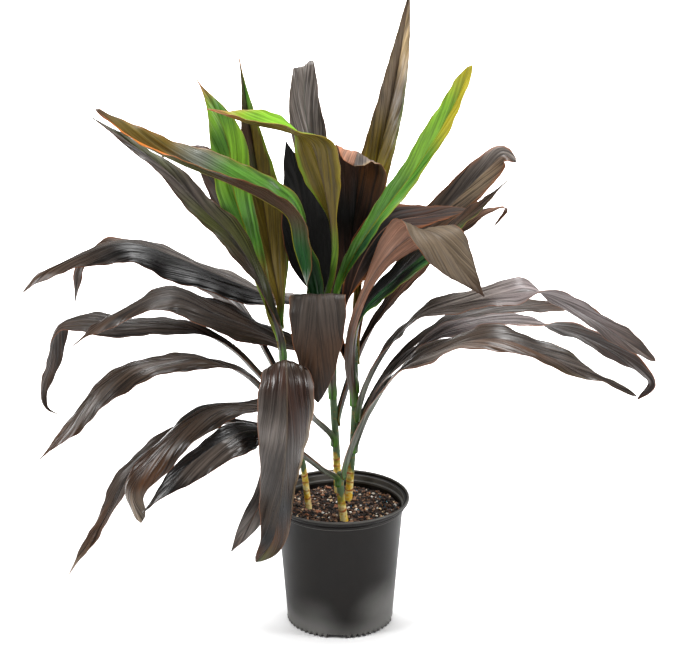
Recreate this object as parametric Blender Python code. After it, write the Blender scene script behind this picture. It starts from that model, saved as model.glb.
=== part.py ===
"""A ti plant in its black nursery pot.

Four ringed canes stand in a bark potting mix, and each leaf clasps its cane,
rises on a channelled petiole and arches, folds or hangs as a pleated blade.
The pot's base lies on z = 0 with its centre at the origin, +X to the right
and the front of the plant towards -Y.  Tables are in millimetres.
"""

import math
from collections import namedtuple

import bmesh
import bpy
from mathutils import Matrix, Vector, noise

MM = 0.001
GAP = 0.35            # clearance between pieces that touch

# Pot: a thin moulded tub with a rolled lip above a stepped neck.
POT_SEGMENTS = 60
POT_HEIGHT = 220
RIM_RADIUS = 115
NECK_RADIUS = 107.6
WALL_TOP = (104.4, 201.5)
WALL_FOOT = (88, 3)
WALL = 1.8
LIP_HEIGHT = 8
LIP_WIDTH = 3.8
LIP_ROUND = 1.5
FLOOR = 5.8           # height of the floor's upper face
PAD_RADIUS = 20
FOOT_RING = (80, 86)
CHANNEL_HEIGHT = 4    # the base between the pad and the foot ring
SCALLOP_DEPTH = 2.4
SCALLOP_EVERY = 3     # every third segment of the foot ring is lifted
DRAIN_HOLES = 6
DRAIN_RADIUS = 6
DRAIN_CIRCLE = 58
SLOT_COUNT = 4
SLOT_SIZE = (14, 30, 6.4)
SLOT_TURN = 267       # heading of the first slot, degrees

# Soil: the bark mix, heaped unevenly a little below the rim.
SOIL_TOP = 195
SOIL_RINGS = (16, 32, 48, 64, 78, 90)
SOIL_SEGMENTS = 36
SOIL_LUMP = 3.2       # height of the lumps above and below the mean surface
SOIL_LUMP_SIZE = 17
BURIED = 85           # length of cane below the soil's surface
SOCKET_SIDES = 12
SOCKET_REACH = 12     # how far a socket's cutter stands out of the soil

# Canes: ringed by the scars of the leaves they have shed.
RING_PITCH = 14
RING_HEIGHT = 0.5
RING_WIDTH = 2.5
FIRST_RING = 20       # height of the lowest ring above the soil
CANE_RESOLUTION = 2

# Leaves: a channelled petiole that widens slowly, then a blade.
PETIOLE_HALF = 5.2    # where the petiole leaves its clasp
STALK_HALF = 9.6      # where the petiole opens into the blade
TIP_HALF = 0.9
CLASP_HALF = 6.2      # half width of the base where it hugs the cane
CLASP_LENGTH = 12
CLASP_LEAN = 1.6      # how far the petiole has left the cane by then
BLADE_THICK = 0.9
PETIOLE_THICK = 2.4
STRIPS = 4            # strips across a leaf, two on each side of the midrib
SPAN = 34             # the longest span between two stations along a leaf
PETIOLE_TROUGH = (38, 56)     # slopes of the inner and outer strips, degrees
BLADE_FLARE = 21      # how much flatter the outer strip of a blade is than the inner one
CHANNEL_OPENS = 30    # distance over which the clasp opens into the petiole's channel
BLADE_OPENS = 0.15    # share of the leaf over which the channel opens into the blade
ROLL_IN = 90          # distance over which a leaf turns from its cane to its own roll
WAVE_LENGTH = 120
WAVE_LAG = 1.9        # radians between the waves of the two edges
WAVE_FULL = 12        # half width from which the edges wave fully

Cane = namedtuple("Cane", "name foot_radius top_radius route")
Leaf = namedtuple("Leaf",
                  "name cane height facing width widest petiole tone route roll wave taper fold",
                  defaults=(1.0, (15, 15)))

# Each cane's route runs up its middle, from the soil to the growing tip.
CANES = (
    Cane("cane_left", 5.2, 4.6,
         ((-52, 5, 195), (-61, 0, 274), (-82, -10, 392), (-92, -14, 480), (-98, -15, 522))),
    Cane("cane_front", 6.6, 5.8,
         ((7, -45, 195), (2, -47, 231), (0, -49, 282))),
    Cane("cane_right", 6.3, 5.4,
         ((14, 40, 195), (18, 42, 248), (22, 44, 301), (25, 46, 389), (23, 49, 466))),
    Cane("cane_back", 6.5, 5.6,
         ((-3, 75, 195), (-7, 74, 289), (-11, 71, 362), (-11, 66, 452), (-11, 62, 524))),
)

# Each leaf names its cane and the height where it clasps it, the compass
# heading it arches towards (0 right, 90 back, 180 left, 270 front), its width
# and how far out the blade is widest, its petiole's length, its tone, the
# route of its midrib, its roll at even steps, how far its edges wave, and how
# slowly it draws in to its tip (above 1 is slender, below 1 is blunt), and how
# steeply its sides rise from the midrib at even steps (negative where they droop).
LEAVES = (
    Leaf("leaf_left_long", "cane_back", 407, 180, 84, 0.44, 70, "green",
         ((-34, 34, 500), (-50, 10, 570), (-72, -10, 650), (-84, -20, 705), (-114, -25, 730),
          (-170, -35, 762), (-250, -40, 797), (-320, -50, 838), (-378, -55, 888)),
         (0, -44, -50, 2, 0, -12, -16, -15, -14), 2, 0.65, (20, 50, 48, 56, 50, 25)),
    Leaf("leaf_left_grey", "cane_left", 462, 180, 48, 0.36, 90, "grey",
         ((-103, -34, 523), (-116, -33, 565), (-138, -25, 620), (-173, -12, 672),
          (-215, -7, 713), (-280, 14, 776), (-405, 40, 860)),
         (0, -35, -45, -40, -30), 3, 1.3),
    Leaf("leaf_left_hump", "cane_left", 479, 150, 46, 0.45, 130, "bronze",
         ((-114, 22, 530), (-135, 50, 593), (-170, 70, 670), (-200, 80, 738), (-222, 82, 777),
          (-250, 80, 782), (-285, 72, 780), (-315, 62, 765)),
         (0, -30, -40, -30, -10), 2),
    Leaf("leaf_left_green", "cane_left", 498, 170, 60, 0.66, 60, "lime",
         ((-117, -20, 540), (-128, 4, 597), (-150, 20, 667), (-170, 25, 737),
          (-176, 28, 802), (-195, 26, 863), (-225, 20, 918)),
         (0, -60, -75, -70, -60), 2, 1.6, (15, 20, 22, 15)),
    Leaf("leaf_left_spear", "cane_left", 514, 120, 74, 0.36, 36, "olive",
         ((-100, 18, 558), (-113, 56, 626), (-125, 70, 707), (-137, 78, 779),
          (-148, 82, 855), (-162, 88, 945)),
         (0, -20, -30, -30, -25), 2, 1.8, (15, 28, 38, 38)),
    Leaf("leaf_mid_arch", "cane_back", 474, 180, 76, 0.46, 225, "lime",
         ((-27, 28, 543), (-16, 5, 605), (-13, 0, 660), (-20, -10, 725), (-32, -20, 785),
          (-48, -30, 830), (-86, -45, 850), (-140, -60, 866), (-205, -75, 893)),
         (0, 0, 5, 60, 78, 72, 0, -10, -10), 2, 1.0, (15, 15, 12, 8, 14, 50, 40)),
    Leaf("leaf_back_broad", "cane_back", 508, 110, 58, 0.5, 80, "grey",
         ((-18, 112, 560), (-28, 145, 655), (-44, 170, 750), (-58, 190, 835), (-59, 205, 900),
          (-61, 222, 886), (-59, 232, 820)),
         (0, 5, -8, -26, -34), 2),
    Leaf("leaf_mid_dark", "cane_back", 460, 150, 82, 0.42, 75, "black",
         ((-31, 68, 542), (-46, 57, 614), (-58, 48, 687), (-68, 60, 740), (-80, 65, 780),
          (-87, 70, 806)),
         (0, -40, -45, -45, -45), 3),
    Leaf("leaf_mid_brown", "cane_back", 442, 70, 94, 0.7, 70, "brown",
         ((3, 92, 530), (16, 110, 605), (26, 120, 695), (30, 120, 748), (30, 104, 778),
          (27, 84, 782), (22, 70, 765)),
         (0, 15, 15, 15, -30), 3, 0.42),
    Leaf("leaf_back_tall", "cane_right", 452, 60, 58, 0.45, 110, "olive",
         ((31, 98, 532), (38, 140, 620), (54, 170, 715), (82, 190, 830), (100, 205, 925),
          (114, 210, 1025)),
         (0, 10, 20, 25, 30), 2, 1.0, (15, 30, 40, 30)),
    Leaf("leaf_right_green", "cane_back", 492, 0, 46, 0.74, 70, "lime",
         ((2, 37, 573), (16, 20, 617), (62, 2, 698), (120, -18, 784), (168, -50, 878),
          (202, -70, 960)),
         (0, 50, 50, 45, 40), 2, 0.55, (15, 30, 34, 25)),
    Leaf("leaf_right_brown", "cane_right", 432, 30, 54, 0.7, 120, "brown",
         ((37, 84, 500), (66, 120, 588), (170, 155, 664), (242, 180, 729), (272, 190, 752),
          (293, 184, 741)),
         (0, 30, 60, 60, 50), 2, 0.5),
    Leaf("leaf_right_hook", "cane_right", 408, 20, 68, 0.45, 130, "bronze",
         ((4, 62, 485), (18, 70, 555), (46, 70, 625), (85, 75, 668), (145, 80, 678),
          (210, 85, 685), (220, 80, 680)),
         (0, 25, 42, 30, 10), 2),
    Leaf("leaf_right_folded", "cane_right", 362, 290, 84, 0.6, 215, "pink",
         ((15, 15, 455), (27, -2, 542), (60, -14, 618), (98, -24, 664), (130, -44, 690),
          (154, -72, 684), (188, -86, 643), (226, -92, 596)),
         (0, -10, -40, -28, 4, 0), 2, 0.85, (15, 40, 56, 14, 5)),
    Leaf("leaf_right_striped", "cane_right", 385, 0, 56, 0.45, 100, "striped",
         ((26, 30, 472), (42, 36, 535), (95, 35, 590), (160, 30, 650), (225, 30, 710),
          (270, 25, 755)),
         (0, 25, 25, 15, 10), 2),
    Leaf("leaf_right_slim", "cane_back", 315, 10, 46, 0.45, 150, "grey",
         ((25, 85, 410), (60, 90, 490), (110, 90, 565), (165, 95, 620), (230, 100, 675),
          (270, 100, 685), (262, 98, 670), (250, 95, 655)),
         (0, 10, 10, 5, 0), 2, 0.6),
    Leaf("leaf_right_arch", "cane_right", 335, 350, 66, 0.55, 120, "grey",
         ((50, 30, 410), (95, 15, 495), (135, -5, 540), (200, -16, 562), (258, -25, 577),
          (316, -35, 584), (400, -45, 545), (505, -55, 475)),
         (0, 0, 5, 10, 14, 18, 22, -35, -50, -60, -65), 3, 0.5),
    Leaf("leaf_right_rear", "cane_right", 308, 15, 54, 0.5, 140, "brown",
         ((56, 60, 368), (105, 68, 440), (180, 85, 495), (290, 110, 510), (370, 130, 505),
          (440, 145, 485), (450, 150, 455), (435, 150, 415)),
         (0, 5, 5, 0, 0), 2),
    Leaf("leaf_right_ribbon", "cane_right", 280, 0, 60, 0.5, 140, "grey",
         ((45, 28, 342), (85, 32, 422), (165, 36, 490), (280, 40, 511), (395, 40, 487),
          (488, 35, 434), (513, 30, 405), (490, 30, 378)),
         (0, 3, 5, 5, 5, 5, -5, -40, -55, -50, -40), 3, 0.7),
    Leaf("leaf_right_low", "cane_front", 270, 340, 70, 0.4, 160, "bronze",
         ((20, -55, 320), (45, -65, 380), (90, -90, 465), (150, -120, 515), (240, -160, 550),
          (330, -185, 526), (455, -215, 475)),
         (0, 8, 12, 15, 10), 5, 0.75),
    Leaf("leaf_left_upper", "cane_back", 427, 175, 90, 0.5, 110, "black",
         ((-42, 80, 494), (-66, 72, 526), (-125, 65, 550), (-195, 65, 581), (-270, 65, 614),
          (-348, 60, 640), (-425, 60, 617), (-490, 55, 586), (-520, 50, 555)),
         (0, -10, -14, -14, -10), 4, 0.75, (15, 0, -12, -14, -8)),
    Leaf("leaf_left_rear", "cane_left", 380, 150, 52, 0.5, 130, "brown",
         ((-110, 30, 430), (-135, 65, 465), (-165, 100, 510), (-210, 130, 532), (-270, 155, 555),
          (-320, 170, 582), (-398, 180, 600), (-435, 185, 565), (-450, 185, 495)),
         (0, 10, 0, -10, 0), 3, 0.7),
    Leaf("leaf_left_broad", "cane_back", 388, 180, 86, 0.45, 100, "grey",
         ((-40, 60, 437), (-90, 35, 475), (-145, 15, 508), (-205, 0, 540), (-268, -18, 577),
          (-345, -35, 555), (-400, -45, 522), (-435, -50, 493)),
         (0, -12, -15, -12, -8), 4, 1.0, (15, 8, -5, -8)),
    Leaf("leaf_left_curl", "cane_left", 397, 175, 62, 0.5, 140, "bronze",
         ((-120, 5, 415), (-175, 20, 465), (-230, 35, 494), (-285, 45, 503), (-350, 50, 504),
          (-425, 55, 512), (-462, 60, 499), (-476, 60, 437), (-494, 55, 380),
          (-487, 50, 355), (-470, 50, 345)),
         (0, -15, -22, -18, 30, 20), 2, 1.0, (15, 0, -10, -5)),
    Leaf("leaf_left_blade", "cane_left", 362, 195, 66, 0.55, 100, "brown",
         ((-115, -20, 398), (-160, -45, 450), (-215, -65, 483), (-272, -90, 491),
          (-330, -115, 486), (-378, -130, 455), (-427, -145, 398), (-475, -155, 345)),
         (0, -8, -14, -20, -10), 3, 1.0, (15, -5, -12, -5)),
    Leaf("leaf_low_hooked", "cane_back", 280, 210, 62, 0.5, 180, "bronze",
         ((-45, 20, 345), (-68, -58, 393), (-145, -70, 406), (-200, -86, 406), (-246, -110, 383),
          (-292, -128, 341), (-330, -138, 283), (-318, -142, 232)),
         (0, -10, -15, -20, -50), 5, 0.45, (15, 0, -12, -15)),
    Leaf("leaf_low_trailing", "cane_left", 305, 190, 46, 0.5, 130, "brown",
         ((-95, -15, 330), (-145, -25, 350), (-220, -40, 360), (-285, -55, 338),
          (-345, -70, 285), (-376, -80, 228), (-445, -90, 115)),
         (0, -10, -15, -20, -15), 3),
    Leaf("leaf_low_glossy", "cane_front", 258, 205, 70, 0.4, 130, "black",
         ((-30, -80, 295), (-60, -95, 325), (-95, -106, 357), (-135, -115, 380),
          (-180, -150, 378), (-235, -175, 347), (-282, -190, 305), (-310, -194, 272)),
         (0, -10, -25, -25, -10), 3, 1.0, (15, -5, -12, -5)),
    Leaf("leaf_front_broad", "cane_left", 345, 275, 94, 0.38, 95, "brown",
         ((-76, -54, 408), (-86, -94, 465), (-85, -116, 499), (-83, -143, 478),
          (-84, -164, 380), (-94, -170, 283), (-108, -172, 212), (-134, -173, 178)),
         (0, 0, 0, -10, -12, 0), 3, 0.6, (15, -16, -8, -28, 12)),
    Leaf("leaf_front_upper", "cane_back", 366, 272, 90, 0.5, 130, "brown",
         ((-20, 20, 470), (-30, -32, 552), (-35, -66, 591), (-35, -85, 575),
          (-35, -94, 510), (-35, -96, 420)),
         (0, 0, 0, 0, 0), 2, 0.65, (15, 15, 5, -12)),
    Leaf("leaf_front_slip", "cane_left", 285, 250, 32, 0.5, 130, "grey",
         ((-95, -50, 330), (-114, -90, 315), (-127, -120, 259), (-175, -125, 175)),
         (0, 0, -10, -20), 2),
)

# Colour, roughness and metallic value of each finish.
FINISHES = {
    "pot": ((0.012, 0.012, 0.013), 0.45, 0.0),
    "soil": ((0.045, 0.028, 0.018), 0.95, 0.0),
    "cane": ((0.62, 0.44, 0.13), 0.55, 0.0),
    "green": ((0.13, 0.20, 0.05), 0.38, 0.0),
    "lime": ((0.22, 0.38, 0.04), 0.38, 0.0),
    "olive": ((0.16, 0.15, 0.05), 0.40, 0.0),
    "striped": ((0.05, 0.07, 0.03), 0.36, 0.0),
    "grey": ((0.13, 0.11, 0.10), 0.36, 0.0),
    "brown": ((0.10, 0.06, 0.04), 0.40, 0.0),
    "pink": ((0.26, 0.16, 0.11), 0.42, 0.0),
    "bronze": ((0.07, 0.05, 0.045), 0.36, 0.0),
    "black": ((0.015, 0.014, 0.014), 0.30, 0.0),
}


def clear_scene():
    for item in list(bpy.data.objects):
        bpy.data.objects.remove(item, do_unlink=True)


def finish(name):
    """The Principled material of one finish, made once."""
    material = bpy.data.materials.get(name)
    if material:
        return material
    colour, roughness, metallic = FINISHES[name]
    material = bpy.data.materials.new(name)
    material.use_nodes = True
    shader = material.node_tree.nodes["Principled BSDF"]
    shader.inputs["Base Color"].default_value = (*colour, 1.0)
    shader.inputs["Roughness"].default_value = roughness
    shader.inputs["Metallic"].default_value = metallic
    material.diffuse_color = (*colour, 1.0)
    return material


def add_mesh(name, bm, material, smooth_angle=40):
    """Turn a bmesh in millimetres into a named object in metres."""
    bmesh.ops.scale(bm, vec=(MM, MM, MM), verts=bm.verts)
    mesh = bpy.data.meshes.new(name)
    bm.to_mesh(mesh)
    bm.free()
    mesh.shade_smooth()
    mesh.set_sharp_from_angle(angle=math.radians(smooth_angle))
    item = bpy.data.objects.new(name, mesh)
    bpy.context.collection.objects.link(item)
    item.data.materials.append(finish(material))
    return item


def hide_cutter(item):
    item.hide_render = True
    item.display_type = 'WIRE'
    return item


def cut(item, cutter):
    boolean = item.modifiers.new("cut_" + cutter.name, 'BOOLEAN')
    boolean.operation = 'DIFFERENCE'
    boolean.object = cutter


def turned(profile, segments):
    """Spin an outline of (radius, height) points whose ends lie on the axis."""
    bm = bmesh.new()
    verts = [bm.verts.new((radius, 0, height)) for radius, height in profile]
    edges = [bm.edges.new(pair) for pair in zip(verts, verts[1:])]
    bmesh.ops.spin(bm, geom=verts + edges, cent=(0, 0, 0), axis=(0, 0, 1),
                   angle=math.tau, steps=segments, use_merge=True)
    bmesh.ops.remove_doubles(bm, verts=bm.verts, dist=0.001)
    bmesh.ops.recalc_face_normals(bm, faces=bm.faces)
    return bm


# Pot

def pot_profile():
    """From the middle of the base round under the lip and back down inside."""
    foot_radius, foot_height = WALL_FOOT
    wall_radius, wall_height = WALL_TOP
    inner, outer = FOOT_RING
    lip_bottom = POT_HEIGHT - LIP_HEIGHT
    lip_inside = RIM_RADIUS - LIP_WIDTH
    neck_inside = NECK_RADIUS - WALL
    base = [(0, 0), (PAD_RADIUS, 0), (PAD_RADIUS + 3, CHANNEL_HEIGHT),
            (inner - 4, CHANNEL_HEIGHT), (inner, 0), (outer, 0)]
    outside = [(foot_radius, foot_height), (wall_radius, wall_height),
               (NECK_RADIUS, wall_height + 1.5), (NECK_RADIUS, lip_bottom - 0.5)]
    lip = [(RIM_RADIUS - 1, lip_bottom), (RIM_RADIUS, lip_bottom + LIP_ROUND),
           (RIM_RADIUS, POT_HEIGHT - LIP_ROUND), (RIM_RADIUS - 1.2, POT_HEIGHT),
           (lip_inside + 1, POT_HEIGHT), (lip_inside, POT_HEIGHT - LIP_ROUND)]
    inside = [(lip_inside - 0.6, lip_bottom + 2.2), (neck_inside, lip_bottom + 1.6),
              (neck_inside, wall_height + 4), (wall_radius - WALL, wall_height + 3),
              (foot_radius - WALL, FLOOR), (0, FLOOR)]
    return base + outside + lip + inside


def scallop_foot(bm):
    """Lift every third vertex of the foot ring, which leaves a row of small feet."""
    step = math.tau / POT_SEGMENTS
    for vert in bm.verts:
        radius = math.hypot(vert.co.x, vert.co.y)
        index = round(math.atan2(vert.co.y, vert.co.x) / step)
        on_ring = FOOT_RING[0] - 1 < radius < WALL_FOOT[0] + 1
        if on_ring and vert.co.z < CHANNEL_HEIGHT and index % SCALLOP_EVERY == 0:
            vert.co.z += SCALLOP_DEPTH


def drain_cutters():
    """Round holes through the floor, and slots across the foot ring."""
    bm = bmesh.new()
    for number in range(DRAIN_HOLES):
        turn = Matrix.Rotation(math.tau * (number + 0.5) / DRAIN_HOLES, 4, 'Z')
        place = turn @ Matrix.Translation((DRAIN_CIRCLE, 0, CHANNEL_HEIGHT))
        bmesh.ops.create_cone(bm, cap_ends=True, segments=12, radius1=DRAIN_RADIUS,
                              radius2=DRAIN_RADIUS, depth=3 * CHANNEL_HEIGHT, matrix=place)
    for number in range(SLOT_COUNT):
        angle = math.radians(SLOT_TURN) + math.tau * number / SLOT_COUNT
        turn = Matrix.Rotation(angle, 4, 'Z')
        size = Matrix.Diagonal((*SLOT_SIZE, 1))
        place = turn @ Matrix.Translation((FOOT_RING[1] - 1, 0, 0)) @ size
        bmesh.ops.create_cube(bm, size=1, matrix=place)
    return hide_cutter(add_mesh("cutter_drains", bm, "pot"))


def make_pot():
    bm = turned(pot_profile(), POT_SEGMENTS)
    scallop_foot(bm)
    pot = add_mesh("pot", bm, "pot")
    cut(pot, drain_cutters())


# Canes

def smooth_route(points, spans):
    """Points read from one smooth curve through the route's own points."""
    padded = [points[0] * 2 - points[1], *points, points[-1] * 2 - points[-2]]
    curve = [points[0]]
    for index, count in enumerate(spans):
        a, b, c, d = padded[index:index + 4]
        knots = [0.0]
        for start, end in ((a, b), (b, c), (c, d)):
            knots.append(knots[-1] + math.sqrt((end - start).length))
        for step in range(1, count + 1):
            t = knots[1] + (knots[2] - knots[1]) * step / count
            curve.append(centripetal(t, knots, (a, b, c, d)))
    return curve


def centripetal(t, knots, points):
    """A centripetal Catmull-Rom curve, which never loops between its points."""
    level = list(points)
    for depth in (1, 2):
        for index in range(4 - depth):
            low, high = knots[index], knots[index + depth]
            share = (t - low) / (high - low)
            level[index] = level[index] * (1 - share) + level[index + 1] * share
    share = (t - knots[1]) / (knots[2] - knots[1])
    return level[0] * (1 - share) + level[1] * share


def cane_line(cane):
    """The cane's middle as closely spaced points, with its buried end added."""
    points = [Vector(point) for point in cane.route]
    curve = smooth_route(points, [6] * (len(points) - 1))
    down = (points[0] - points[1]).normalized()
    return [curve[0] + down * BURIED] + curve


def at_height(line, height):
    """The point and the direction of a line where it passes one height."""
    for low, high in zip(line, line[1:]):
        if low.z <= height <= high.z:
            share = (height - low.z) / (high.z - low.z)
            return low.lerp(high, share), (high - low).normalized()
    return line[-1], (line[-1] - line[-2]).normalized()


def tube(name, points, radii):
    """A capped tube on a poly curve whose radius changes from point to point."""
    curve = bpy.data.curves.new(name, 'CURVE')
    curve.dimensions = '3D'
    curve.bevel_depth = MM
    curve.bevel_resolution = CANE_RESOLUTION
    curve.use_fill_caps = True
    spline = curve.splines.new('POLY')
    spline.points.add(len(points) - 1)
    for target, point, radius in zip(spline.points, points, radii):
        target.co = (*(point * MM), 1)
        target.radius = radius
    item = bpy.data.objects.new(name, curve)
    bpy.context.collection.objects.link(item)
    return item


def cane_radius(cane, height):
    """A cane tapers evenly from the soil to its top."""
    foot, top = cane.route[0][2], cane.route[-1][2]
    share = max(height - foot, 0) / (top - foot)
    return cane.foot_radius + (cane.top_radius - cane.foot_radius) * share


def ringed_radii(cane):
    """Stations up the cane: rings where leaves have been shed, plain where they stand."""
    line = cane_line(cane)
    foot, top = cane.route[0][2], cane.route[-1][2]
    lowest_leaf = min(leaf.height for leaf in LEAVES if leaf.cane == cane.name)
    stations = [(line[0].z, 0), (foot + 2, 0)]
    height = foot + FIRST_RING
    while height < top - RING_PITCH:
        if height < lowest_leaf - RING_WIDTH:
            stations += [(height - RING_WIDTH, 0), (height, RING_HEIGHT)]
        else:
            stations.append((height, 0))
        height += RING_PITCH
    stations += [(top - 2, 0), (top, -0.35 * cane.top_radius)]
    points = [at_height(line, height)[0] for height, bump in stations]
    radii = [cane_radius(cane, height) + bump for height, bump in stations]
    return points, radii


def make_cane(cane):
    points, radii = ringed_radii(cane)
    item = tube(cane.name, points, radii)
    item.data.materials.append(finish("cane"))


# Soil

def soil_height(x, y):
    """Coarse lumps from a fixed noise field, with finer ones on top."""
    place = Vector((x, y, 0)) / SOIL_LUMP_SIZE
    fine = noise.noise(place * 2.7 + Vector((4, 9, 2)))
    return SOIL_TOP + SOIL_LUMP * (noise.noise(place) + 0.5 * fine)


def wall_inside(height):
    """Radius of the pot's inner wall at one height."""
    low_radius = WALL_FOOT[0]
    high_radius, high = WALL_TOP
    share = (height - FLOOR) / (high + 3 - FLOOR)
    return low_radius - WALL + share * (high_radius - low_radius)


def make_soil():
    bottom = FLOOR + GAP
    edge = SOIL_TOP - 2
    side = wall_inside(edge) - GAP
    profile = [(0, bottom), (wall_inside(bottom) - 2 * GAP, bottom), (side, edge)]
    profile += [(radius, SOIL_TOP) for radius in reversed(SOIL_RINGS)]
    profile.append((0, SOIL_TOP))
    bm = turned(profile, SOIL_SEGMENTS)
    for vert in bm.verts:
        if vert.co.z > SOIL_TOP - 1:
            vert.co.z = soil_height(vert.co.x, vert.co.y)
    bmesh.ops.triangulate(bm, faces=bm.faces)
    soil = add_mesh("soil", bm, "soil")
    for cane in CANES:
        cut(soil, socket_cutter(cane))


def socket_cutter(cane):
    """The plain hole a cane stands in: its buried end, a little wider and longer."""
    line = cane_line(cane)
    up = (line[1] - line[0]).normalized()
    radius = (cane.foot_radius + GAP) / math.cos(math.pi / SOCKET_SIDES)
    foot, mouth = line[0] - up * GAP, line[1] + up * SOCKET_REACH
    bm = bmesh.new()
    turn = up.to_track_quat('Z', 'Y').to_matrix().to_4x4()
    place = Matrix.Translation((foot + mouth) / 2) @ turn
    bmesh.ops.create_cone(bm, cap_ends=True, segments=SOCKET_SIDES, radius1=radius,
                          radius2=radius, depth=(mouth - foot).length, matrix=place)
    return hide_cutter(add_mesh("cutter_" + cane.name, bm, "soil"))


# Leaves

def blend(values, share):
    """A smooth value read from an even row of values."""
    place = min(max(share, 0.0), 1.0) * (len(values) - 1)
    index = min(int(place), len(values) - 2)
    part = place - index
    part = part * part * (3 - 2 * part)
    return values[index] * (1 - part) + values[index + 1] * part


def leaf_route(leaf, cane):
    """Clasp the cane, follow it for a moment, then take the leaf's own route."""
    foot, up = at_height(cane_line(cane), leaf.height)
    first = Vector(leaf.route[0])
    outward = first - foot
    outward = (outward - up * outward.dot(up)).normalized()
    standoff = cane_radius(cane, leaf.height) + GAP + PETIOLE_THICK / 2
    base = foot + outward * standoff
    near = base + up * CLASP_LENGTH + outward * CLASP_LEAN
    points = [base, near] + [Vector(point) for point in leaf.route]
    spans = [1] + [min(3, max(2, round((b - a).length / SPAN)))
                   for a, b in zip(points[1:], points[2:])]
    return smooth_route(points, spans), outward, standoff


def half_width(leaf, travelled, length):
    """Petiole, then a blade widest before its middle that runs out to a fine tip."""
    if travelled < CLASP_LENGTH:
        share = travelled / CLASP_LENGTH
        return CLASP_HALF + (PETIOLE_HALF - CLASP_HALF) * share
    along = (travelled - leaf.petiole) / (length - leaf.petiole)
    if along <= 0:
        share = (travelled - CLASP_LENGTH) / (leaf.petiole - CLASP_LENGTH)
        return PETIOLE_HALF + (STALK_HALF - PETIOLE_HALF) * share
    if along < leaf.widest:
        swell = math.sin(math.pi / 2 * along / leaf.widest)
    else:
        swell = math.sin(math.pi / 2 * (1 - along) / (1 - leaf.widest)) ** leaf.taper
    stalk = STALK_HALF + (TIP_HALF - STALK_HALF) * along
    return math.hypot(stalk, leaf.width / 2 * swell)


def section(half, inner, outer):
    """Offsets across the leaf, sideways and towards its upper side."""
    strip = half / 2
    inner, outer = math.radians(inner), math.radians(outer)
    near = (strip * math.cos(inner), strip * math.sin(inner))
    far = (near[0] + strip * math.cos(outer), near[1] + strip * math.sin(outer))
    return [(-far[0], far[1]), (-near[0], near[1]), (0, 0), near, far]


def leaf_sections(leaf, stations, outward, standoff):
    """The points of every cross section, swept along the midrib."""
    travelled = [0.0]
    for low, high in zip(stations, stations[1:]):
        travelled.append(travelled[-1] + (high - low).length)
    length = travelled[-1]
    facing = math.radians(leaf.facing)
    side = Vector((math.sin(facing), -math.cos(facing), 0))
    rows = []
    for index, point in enumerate(stations):
        before = stations[max(index - 1, 0)]
        after = stations[min(index + 1, len(stations) - 1)]
        tangent = (after - before).normalized()
        upper = side.cross(tangent).normalized()
        across = tangent.cross(upper)
        if index == 0:
            first_roll = math.atan2(-outward.dot(across), -outward.dot(upper))
        share = travelled[index] / length
        turn_in = min(1.0, travelled[index] / min(leaf.petiole, ROLL_IN))
        turn_in = turn_in * turn_in * (3 - 2 * turn_in)
        roll = first_roll * (1 - turn_in) + math.radians(blend(leaf.roll, share)) * turn_in
        upper, across = (upper * math.cos(roll) + across * math.sin(roll),
                         across * math.cos(roll) - upper * math.sin(roll))
        half = half_width(leaf, travelled[index], length)
        hug = math.degrees(math.asin(min(1.0, half / (4 * standoff))))
        opened = min(1.0, travelled[index] / CHANNEL_OPENS)
        past_petiole = max(0.0, travelled[index] - leaf.petiole)
        into_blade = min(1.0, past_petiole / (BLADE_OPENS * length))
        slopes = []
        fold = blend(leaf.fold, share)
        trough = (fold, fold - BLADE_FLARE)
        for clasped, petiole, blade in zip((hug, 3 * hug), PETIOLE_TROUGH, trough):
            channel = clasped * (1 - opened) + petiole * opened
            slopes.append(channel * (1 - into_blade) + blade * into_blade)
        phase = math.tau * travelled[index] / WAVE_LENGTH
        row = []
        for number, (sideways, rise) in enumerate(section(half, *slopes)):
            if number in (0, STRIPS):
                ripple = math.sin(phase + (WAVE_LAG if number else 0))
                rise += leaf.wave * ripple * into_blade * min(1.0, half / WAVE_FULL)
            row.append(point + across * sideways + upper * rise)
        rows.append(row)
    return rows, travelled


def make_leaf(leaf, canes):
    stations, outward, standoff = leaf_route(leaf, canes[leaf.cane])
    rows, travelled = leaf_sections(leaf, stations, outward, standoff)
    spans = len(rows) - 1
    bm = bmesh.new()
    bmesh.ops.create_grid(bm, x_segments=spans, y_segments=STRIPS, size=1)
    thickness = bm.verts.layers.deform.verify()
    origin = stations[0]
    for vert in bm.verts:
        along = round((vert.co.x + 1) / 2 * spans)
        across = round((vert.co.y + 1) / 2 * STRIPS)
        vert.co = rows[along][across] - origin
        fade = min(1.0, travelled[along] / leaf.petiole)
        vert[thickness][0] = 1 - fade * (1 - BLADE_THICK / PETIOLE_THICK)
    bmesh.ops.triangulate(bm, faces=bm.faces, quad_method='SHORT_EDGE')
    item = add_mesh(leaf.name, bm, leaf.tone, smooth_angle=60)
    item.location = origin * MM
    group = item.vertex_groups.new(name="thickness")
    wall = item.modifiers.new("thickness", 'SOLIDIFY')
    wall.thickness = PETIOLE_THICK * MM
    wall.offset = 0
    wall.vertex_group = group.name


def main():
    clear_scene()
    canes = {cane.name: cane for cane in CANES}
    make_pot()
    make_soil()
    for cane in CANES:
        make_cane(cane)
    for leaf in LEAVES:
        make_leaf(leaf, canes)


main()
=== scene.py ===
# %% [markdown]
# # A ti plant in its nursery pot
#
# The finished plant is dressed over a imported model whose solids already hold every
# leaf, cane and the pot at their true size and place.  Here each of them gets its fine
# surface: pleated blades, ringed canes, loose bark mix and moulded plastic.
# The first cell loads that model.

# %% Load the imported model
import math
import random
from collections import namedtuple

import bmesh
import bpy
from mathutils import Matrix, Vector, noise


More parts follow.
